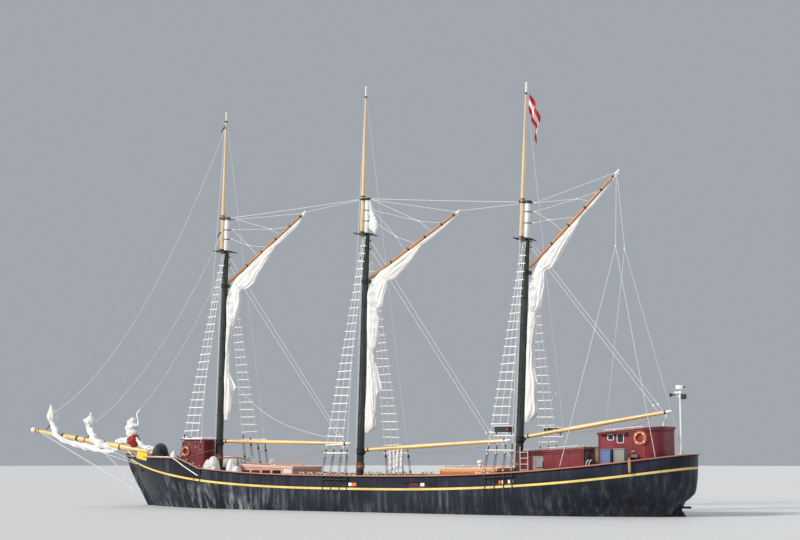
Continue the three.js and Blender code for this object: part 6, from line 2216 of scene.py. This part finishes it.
class SCHOONER_OT_fittings(SchoonerBuilder, Operator):
    """Deck gear: rails, lockers, lamps, boards and supports, joined by their place on board"""

    bl_idname = "schooner.fittings"
    bl_label = "Deck fittings"

    def build(self, scene):
        self.forecastle()
        self.side_lights()
        self.lockers()
        self.fender()
        self.ports()
        self.sheet_supports()
        self.stern()
        for node, name in (
            ("windlass", "iron"), ("bowsprit_bitt", "rail_wood"), ("stern_pole", "white_paint"),
            ("rudder", "topside_paint"), ("propeller", "bronze"),
        ):
            dress(node, name)

    def forecastle(self):
        """White pipe rails outside the bulwark, hawse pipes, a yellow board and a box on the fore house."""
        pile = Pile()
        hawse_x, hawse_z = 7.03, 1.17
        cup = lathe([(0.050, 0.0), (0.046, -0.03), (0.01, -0.04)], 20)[::-1]
        for sign in SIDES.values():
            points = [
                np.array([x, sign * beside(x, min(z, float(rail_z(x))), -0.046 if x > 4.5 else -0.085), z])
                for x, z in PIPE_RAIL]
            pile.tube(smooth_path(points, 60), 0.016, 10, 0)
            for point in points[:5]:
                pile.rod(point - [0, sign * 0.05, 0.06], point, 0.011, 8, 0)
                pile.ball(point, 0.020, slot=0, sides=10)
            foot = points[-1]
            pile.rod(foot - [0, sign * 0.09, 0], foot, 0.014, 10, 0)
            pile.ball(foot, 0.022, slot=0, sides=10)
            skin = float(skin_y(hawse_x, hawse_z))
            out = (0.35, sign, 0)
            pile.torus((hawse_x, sign * (skin + 0.004), hawse_z), out, 0.055, 0.016, 1, 28, 10)
            pile.grid(turned_to(cup, out, (hawse_x, sign * (skin + 0.002), hawse_z)), slot=1)
        board_x, turn, tilt = 6.75, -0.12, 0.20
        x, y, z = np.moveaxis(block((0.47, 0.018, 0.235), 0.10), -1, 0)
        x, z = x * math.cos(tilt) - z * math.sin(tilt), z * math.cos(tilt) + x * math.sin(tilt)
        x, y = x * math.cos(turn) - y * math.sin(turn), x * math.sin(turn) + y * math.cos(turn)
        pile.grid(np.stack([x, y, z], -1) + [board_x, beside(board_x, 1.6, -0.085), 1.625], slot=2)
        top = roof_z(HOUSES["fore_house"], 5.46)
        pile.box((5.36, 0.30, top + 0.006), (5.57, 0.51, top + 0.10), 0, chamfer=0.12)
        pile.box((5.35, 0.29, top + 0.095), (5.58, 0.52, top + 0.115), 0, chamfer=0.3)
        looks = finishes("white_paint", "iron", "name_board")
        pile.make("forecastle_fittings", looks, slot="white_paint", angle=35)

    def locker(self, pile, x0, x1, y0, y1, top, slot):
        """A chest on the deck: its case, a lid that stands out all round, and battens on its face."""
        foot = float(deck_top((x0 + x1) / 2)) - 0.01
        lid, out = 0.012, y1 + 0.008
        for sign in SIDES.values():
            pile.side_box(sign, (x0, y0, foot), (x1, y1, top - 0.03), slot, 0.04)
            pile.side_box(sign, (x0 - lid, y0 - lid, top - 0.032), (x1 + lid, y1 + lid, top), slot, 0.25)
            for x in (x0 + 0.02, x1 - 0.02):
                pile.side_box(sign, (x - 0.018, y1, foot), (x + 0.018, out, top - 0.035), slot, 0.2)
            pile.side_box(sign, (x0, y1, foot), (x1, out, foot + 0.04), slot, 0.2)

    def side_lights(self):
        """Lamp boards in the mizzen shrouds, each with a white top edge, a lower batten and its lamp."""
        pile = Pile()
        x0, x1, z0, z1 = BLACK_BOARD
        mid = (z0 + z1) / 2
        lamp = lathe([(0.02, -0.07), (0.045, -0.06), (0.045, -0.035), (0.040, -0.03)], 18)
        glass = lathe([(0.040, -0.03), (0.043, 0.0), (0.040, 0.03)], 18)
        cap = lathe([(0.040, 0.03), (0.047, 0.035), (0.04, 0.055), (0.02, 0.07), (0.012, 0.085)], 18)
        hook = [(0.0, 0.0), (-0.02, 0.18), (-0.06, 0.34), (-0.12, 0.41), (-0.17, 0.38), (-0.17, 0.31)]
        for side, sign in SIDES.items():
            lines = shroud_lines(MASTS["mizzen"], sign)
            y = max(abs(at_height(line, z0)[1]) for line in lines[1:]) + 0.022
            low, high = sorted((sign * y, sign * (y + 0.022)))
            boxes = [
                ((x0, low, z0), (x1, high, z1), 0, 0.15),
                ((x0 - 0.02, low - 0.01, z1 - 0.002), (x1 + 0.02, high + 0.03, z1 + 0.026), 1, 0.2),
                ((x0 - 0.03, low - 0.004, z0 - 0.11), (x1 + 0.03, high - 0.002, z0 - 0.075), 1, 0.2)]
            for x in (x0 + 0.06, x1 - 0.06):
                strap = (x - 0.012, low - 0.002, z0 - 0.11), (x + 0.012, high - 0.004, z0 + 0.01)
                boxes.append((*strap, 0, 0.2))
            for box in boxes:
                pile.box(*box)
            centre = [x0 + 0.15, sign * (y + 0.068), mid - 0.005]
            for part, slot in ((lamp, 0), (glass, 2 if side == "port" else 3), (cap, 0)):
                pile.grid(part + centre, slot=slot)
            back = at_height(lines[1], 3.08)
            path = smooth_path([back + [dx, sign * 0.012, dz] for dx, dz in hook], 24)
            pile.tube(path, 0.010, 8, 1)
        looks = finishes("dark_canvas", "white_paint", "lamp_red", "lamp_green")
        pile.make("side_light_boards", looks, slot="grey_paint", angle=35)

    def lockers(self):
        """Lockers beside the wheelhouse, white bent pipes, bitts, and lamps on the wheelhouse's sides."""
        post = lathe([(0.026, 0.0), (0.026, 0.10), (0.038, 0.112), (0.036, 0.13), (0.015, 0.14)], 14)
        pile = Pile()
        for x0, x1, top, slot in ((-9.81, -9.53, 1.83, 0), (-10.18, -9.87, 1.847, 1)):
            out = beside(x0, 1.3, BULWARK_T + 0.10)
            self.locker(pile, x0, x1, out - 0.30, out, top, slot)
        for sign in SIDES.values():
            for shift in (0.0, 0.085):
                foot = np.array([-8.98 - shift, sign * 1.2, float(deck_top(-9.0))])
                arc = [foot, foot + [0, 0, 0.28], foot + [-0.02, 0, 0.46], foot + [-0.09, 0, 0.53]]
                pile.tube(smooth_path(arc, 18), 0.014, 8, 2)
            pile.side_box(sign, (-10.33, 0.798, 1.600), (-10.14, 0.835, 1.672), 2, 0.25)
            pile.ball((-10.22, sign * 0.812, 1.765), 0.05, (1.2, 0.4, 0.55), slot=1, sides=14)
            for x in (-9.9, -11.0):
                y, deck = sign * beside(x, 1.25, 0.19), float(deck_top(x))
                pile.box((x - 0.11, y - 0.03, deck), (x + 0.11, y + 0.03, deck + 0.05), 3, 0.2)
                for step in (-0.06, 0.06):
                    pile.grid(post + [x + step, y, deck + 0.045], slot=3)
        looks = finishes("blue_paint", "grey_paint", "white_paint", "iron")
        pile.make("after_deck_fittings", looks, slot="grey_paint", angle=35)

    def fender(self):
        """A rope fender that hangs at the port quarter."""
        x = -10.38
        rows = [
            (0.008, 1.19), (0.026, 1.21), (0.040, 1.26), (0.042, 1.36), (0.040, 1.48), (0.030, 1.55),
            (0.012, 1.58), (0.008, 1.62)]
        pile = Pile()
        pile.grid(lathe(rows, 20) + [x, beside(x, 1.4, -0.045), 0])
        piece = pile.make("rope_fender", finish("tan_rope"), slot="wire")

    def ports(self):
        """What shows through the freeing ports: painted chocks and flaps set into the openings."""
        pile = Pile()
        for which, start, end, slot in PORT_CHOCKS:
            aft, fore = FREEING_PORTS[which]
            x0, x1 = fore - (fore - aft) * end, fore - (fore - aft) * start
            low = float(deck_top((x0 + x1) / 2)) + 0.045
            out = beside((x0 + x1) / 2, low, 0.010)
            for sign in SIDES.values():
                pile.side_box(sign, (x0, out - 0.036, low), (x1, out, low + 0.11), slot, chamfer=0.2)
        looks = finishes("white_paint", "orange_paint", "dark_red_paint")
        pile.make("port_chocks", looks, slot="white_paint", angle=35)

    def sheet_supports(self):
        """Where the three boom sheets are made fast: a ring bolt, an iron horse and a bolt on the roof."""
        (fore_x, _, _), (main_x, _, _), (mizzen_x, _, _) = SHEETS.values()
        pile = Pile()
        deck = float(deck_top(fore_x))
        rows = [(0.075, deck), (0.075, deck + 0.012), (0.02, deck + 0.03), (0.016, 0.83)]
        pile.grid(lathe(rows, 16) + [fore_x, 0, 0])
        foot = float(deck_top(main_x)) - 0.01
        half = [(0.56, foot), (0.56, 0.98), (0.54, 1.035), (0.48, 1.065)]
        arch = [(-y, z) for y, z in half] + half[::-1]
        pile.tube(np.array([[main_x, y, z] for y, z in arch]), 0.017, 12)
        flange = lathe([(0.05, 0.008), (0.05, 0.022), (0.022, 0.035)], 16)
        for y in (-0.56, 0.56):
            pile.grid(flange + [main_x, y, foot])
        top = roof_z(HOUSES["wheelhouse"], mizzen_x) + 0.008
        rows = [(0.07, top), (0.07, top + 0.014), (0.02, top + 0.03), (0.016, 2.42)]
        pile.grid(lathe(rows, 16) + [mizzen_x, 0, 0])
        pile.make("sheet_supports", finish("iron"), slot="ironwork", angle=35)

    def stern(self):
        """Horn, lamp, box and bracket of the stern pole, and the straps of the rudder."""
        pile = Pile()
        low, high = (np.array(v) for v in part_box("stern_pole"))
        y = float(low[1] + high[1]) / 2
        bell = [
            (0.012, 0.0), (0.016, 0.06), (0.030, 0.11), (0.062, 0.15), (0.070, 0.157), (0.060, 0.150),
            (0.02, 0.11)]
        pile.grid(turned_to(lathe(bell, 22), (1.0, 0.25, 0), (-11.16, y, 3.31)), slot=0)
        pile.box((-11.46, y - 0.05, 3.19), (-11.33, y + 0.05, 3.33), 0, chamfer=0.12)
        pile.rod((-11.35, y, 3.26), (-11.22, y, 3.26), 0.014, 8, 1)
        pile.ball((-11.40, y, 3.525), 0.05, (1, 1, 0.9), slot=2, sides=16)
        pile.rod((-11.40, y, 3.52), (-11.25, y, 3.52), 0.013, 8, 1)
        bracket = [np.array([x, y, z]) for x, z in ((-11.15, 1.54), (-11.36, 1.54), (-11.25, 1.73))]
        for start, end in zip(bracket, bracket[1:] + bracket[:1]):
            pile.rod(start, end, 0.014, 8, 1)
        looks = finishes("iron", "white_paint", "lamp_green")
        pile.make("stern_pole_fittings", looks, slot="white_paint", angle=35)
        low, high = (np.array(v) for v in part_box("rudder"))
        straps = Pile()
        for z in (low[2] + 0.22, (low[2] + high[2]) / 2 - 0.1, high[2] - 0.35):
            after = (low[0] + 0.12, low[1] - 0.006, z - 0.03)
            straps.box(after, (high[0] - 0.05, high[1] + 0.006, z + 0.03), 0, 0.2)
        straps.make("rudder_straps", finish("iron"), "rudder", slot="ironwork", angle=35)


class SCHOONER_OT_canvas(SchoonerBuilder, Operator):
    """Sail bags, the windlass cover and the rolled cloths under the main boom"""

    bl_idname = "schooner.canvas"
    bl_label = "Bags and covers"

    def build(self, scene):
        self.cover()
        self.bags()
        self.stoppered()

    def cover(self):
        """A dark cover over the windlass: a rounded top that falls in folds that widen to the deck."""
        low, high = (np.array(v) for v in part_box("windlass"))
        centre, half = (low + high) / 2, (high - low) / 2 + 0.05
        deck = float(deck_top(centre[0]))
        turn = np.linspace(0, 2 * math.pi, 121)[:-1][None, :]
        fall = np.linspace(0.02, 1, 46)[:, None]
        fold = 1 + 0.10 * fall**2 * np.sin(9 * turn + 1.3 * np.sin(2 * turn))
        fold = fold + 0.05 * fall * np.sin(5 * turn + 1)
        square = (np.abs(np.cos(turn)) ** 4 + np.abs(np.sin(turn)) ** 4) ** -0.25
        reach = np.minimum(1.0, fall * 2.1) ** 0.75 * (1 + 0.16 * np.maximum(0, fall - 0.45)) * fold * square
        drop = np.clip((fall - 0.40) / 0.60, 0, 1)
        top = high[2] + 0.075 - 0.045 * np.minimum(1, fall * 2.2) ** 2
        z = top - (top - deck - 0.05) * drop + 0 * turn
        points = np.stack([centre[0] + half[0] * reach * np.cos(turn), half[1] * reach * np.sin(turn), z], -1)
        pile = Pile()
        pile.grid(points[::-1], caps=(False, True))
        piece = pile.make("windlass_cover", finish("dark_canvas"), slot="sailcloth", angle=180)

    def bags(self):
        """White sail bags behind the foremast and by the fore cabin, and a tall dark one by the windlass."""
        for label, sign in SIDES.items():
            deck = float(deck_top(4.0)) - 0.004
            self.bag(f"mast_{label}", 0.5, (
                ((3.93, sign * 0.98, deck), 0.22, 0.22, 1.62 - deck, 1.0),
                ((4.20, sign * 0.92, deck), 0.17, 0.20, 1.47 - deck, 3.1, 0.05)))
            deck = float(deck_top(5.6))
            self.bag(f"bow_{label}", 0.6, (
                ((5.60, sign * 0.90, deck - 0.004), 0.15, 0.15, 1.79 - deck, 4.2),))
            deck = float(deck_top(3.1)) - 0.004
            self.bag(f"cabin_{label}", 0.5, (
                ((3.12, sign * 1.12, deck), 0.18, 0.22, 0.64, 2.5, 0.06),
                ((2.88, sign * 1.16, deck), 0.17, 0.20, 0.48, 0.4)))
        pile = Pile()
        deck = float(deck_top(6.62)) - 0.004
        heap(pile, (6.60, 0.34, deck), 0.29, 0.36, 2.05 - deck, 5.6)
        piece = pile.make("gear_bag_bow", finish("dark_canvas"), slot="sailcloth", angle=180)

    def bag(self, label, fill, heaps):
        pile = Pile()
        for values in heaps:
            heap(pile, *values)
        piece = pile.make(f"sail_bag_{label}", finish("sailcloth"), slot="sailcloth", angle=180)

    def stoppered(self):
        """Four rolls of pale cloth made fast under the main boom, which swing with it."""
        pile = Pile()
        for i, (x, foot) in enumerate(((-2.02, 1.16), (-2.15, 1.11), (-2.29, 1.14), (-2.42, 1.12))):
            head = on_spar("main", "boom", share_at("main", "boom", x)) - [0, 0, 0.060]
            way = (-1) ** i
            low = np.array([x - 0.03 + 0.02 * i, 0.02 * way, foot])
            path = evenly([head, head * 0.5 + low * 0.5 + [0.01, 0.012 * way, 0], low], 70)
            wide = 0.052 * (1 + 0.16 * np.sin(np.arange(70) * 0.35 + i))
            aside = np.array([1.0, 0, 0]) * wide[:, None]
            bundle(
                pile, path - aside, path + aside, wide, 2, (0.5, 0.65), 1.0 + i, (0.25, 0.55, 0.8), around=40)
        piece = pile.make("stoppered_cloths", finish("sailcloth"), "main_boom", slot="sailcloth", angle=180)


# The stage, and how everything is run


CAMERA_PLACE, CAMERA_SWING, CAMERA_TILT = (-26.5209, 40.9974, 1.7468), 0.5326, 0.116
SENSOR_WIDTH, CLIP = 36.0, (0.1, 500.0)
SKY_COLOUR = (0.78, 0.84, 0.92, 1.0)
LIT_POINT = (0.0, 0.0, 4.0)
# Lights: place, apparent width, share of the key light's strength, colour.
LIGHTS = (
    ("Key", (22.0, 34.0, 26.0), 0.20, 1.0, (1.0, 0.95, 0.88)),
    ("Fill", (-30.0, 22.0, 14.0), 0.9, 0.14, (0.88, 0.93, 1.0)),
    ("Rim", (4.0, -30.0, 22.0), 0.9, 0.16, (1.0, 1.0, 1.0)),
)


class SCHOONER_OT_stage(SchoonerBuilder, Operator):
    """Camera at the photograph's place, soft studio light and a pale floor at the waterline"""

    bl_idname = "schooner.stage"
    bl_label = "Stage"

    def build(self, scene):
        sizes = scene.schooner_stage
        self.camera(scene, sizes)
        self.lights(scene, sizes)
        self.floor(sizes.floor_radius)

    def camera(self, scene, sizes):
        data = bpy.data.cameras.new("Camera")
        data.lens, data.sensor_width = sizes.lens, SENSOR_WIDTH
        data.clip_start, data.clip_end = CLIP
        camera = bpy.data.objects.new("Camera", data)
        level = math.cos(CAMERA_TILT)
        ahead = Vector(
            (math.sin(CAMERA_SWING) * level, -math.cos(CAMERA_SWING) * level, math.sin(CAMERA_TILT)))
        camera.location = CAMERA_PLACE
        camera.rotation_euler = ahead.to_track_quat("-Z", "Y").to_euler()
        scene.collection.objects.link(camera)
        scene.camera = camera

    def lights(self, scene, sizes):
        world = bpy.data.worlds.new("Studio")
        world.use_nodes = True
        backdrop = world.node_tree.nodes["Background"]
        backdrop.inputs["Color"].default_value = SKY_COLOUR
        backdrop.inputs["Strength"].default_value = sizes.surround
        scene.world = world
        scene.view_settings.view_transform = "Standard"
        for name, place, width, share, colour in LIGHTS:
            data = bpy.data.lights.new(name, "SUN")
            data.angle, data.energy, data.color = width, sizes.key * share, colour
            lamp = bpy.data.objects.new(name, data)
            lamp.location = place
            lamp.rotation_euler = (Vector(LIT_POINT) - Vector(place)).to_track_quat("-Z", "Y").to_euler()
            scene.collection.objects.link(lamp)

    def floor(self, radius):
        """A disc at the waterline, of rings whose radius grows as a square up to the floor's own."""
        reach = np.linspace(0.02, 1.0, 12) ** 2 * radius
        grid = lathe(np.stack([reach, 0 * reach], -1), 96)
        f = Finish("studio_floor", roughness=0.75)
        f.colour(f.mix(f.noise(3.0, detail=2), (0.62, 0.63, 0.64), (0.64, 0.65, 0.66)))
        pile = Pile()
        pile.grid(grid, caps=(True, False))
        floor = pile.make("floor", f.material, body=None)


OPERATORS = tuple(kind for kind in SchoonerBuilder.__subclasses__() if kind is not SCHOONER_OT_stage)


class SCHOONER_PT_panel(Panel):
    """Lists the settings and the steps in the sidebar"""

    bl_idname = "SCHOONER_PT_panel"
    bl_label = "Schooner"
    bl_space_type = "VIEW_3D"
    bl_region_type = "UI"
    bl_category = "Schooner"

    def draw(self, context):
        for key in SETTINGS:
            column = self.layout.column()
            column.label(text=key.replace("_", " ").capitalize())
            for name in getattr(context.scene, key).__annotations__:
                column.prop(getattr(context.scene, key), name)
        for kind in (SCHOONER_OT_stage, *OPERATORS):
            self.layout.operator(kind.bl_idname)


SETTINGS = {
    "schooner_colours": SchoonerColours,
    "schooner_hull": SchoonerHull,
    "schooner_deck": SchoonerDeck,
    "schooner_rig": SchoonerRig,
    "schooner_sails": SchoonerSails,
    "schooner_stage": SchoonerStage,
}
CLASSES = (*SETTINGS.values(), SCHOONER_OT_stage, *OPERATORS, SCHOONER_PT_panel)


def register():
    for kind in CLASSES:
        bpy.utils.register_class(kind)
    for key, kind in SETTINGS.items():
        setattr(bpy.types.Scene, key, PointerProperty(type=kind))


def unregister():
    for key in SETTINGS:
        delattr(bpy.types.Scene, key)
    for kind in reversed(CLASSES):
        bpy.utils.unregister_class(kind)


def main():
    """Builds everything in order and finishes the solids that stay in view."""
    register()
    for kind in (SCHOONER_OT_stage, *OPERATORS):
        area, step = kind.bl_idname.split(".")
        getattr(getattr(bpy.ops, area), step)()


if __name__ == "__main__":
    main()
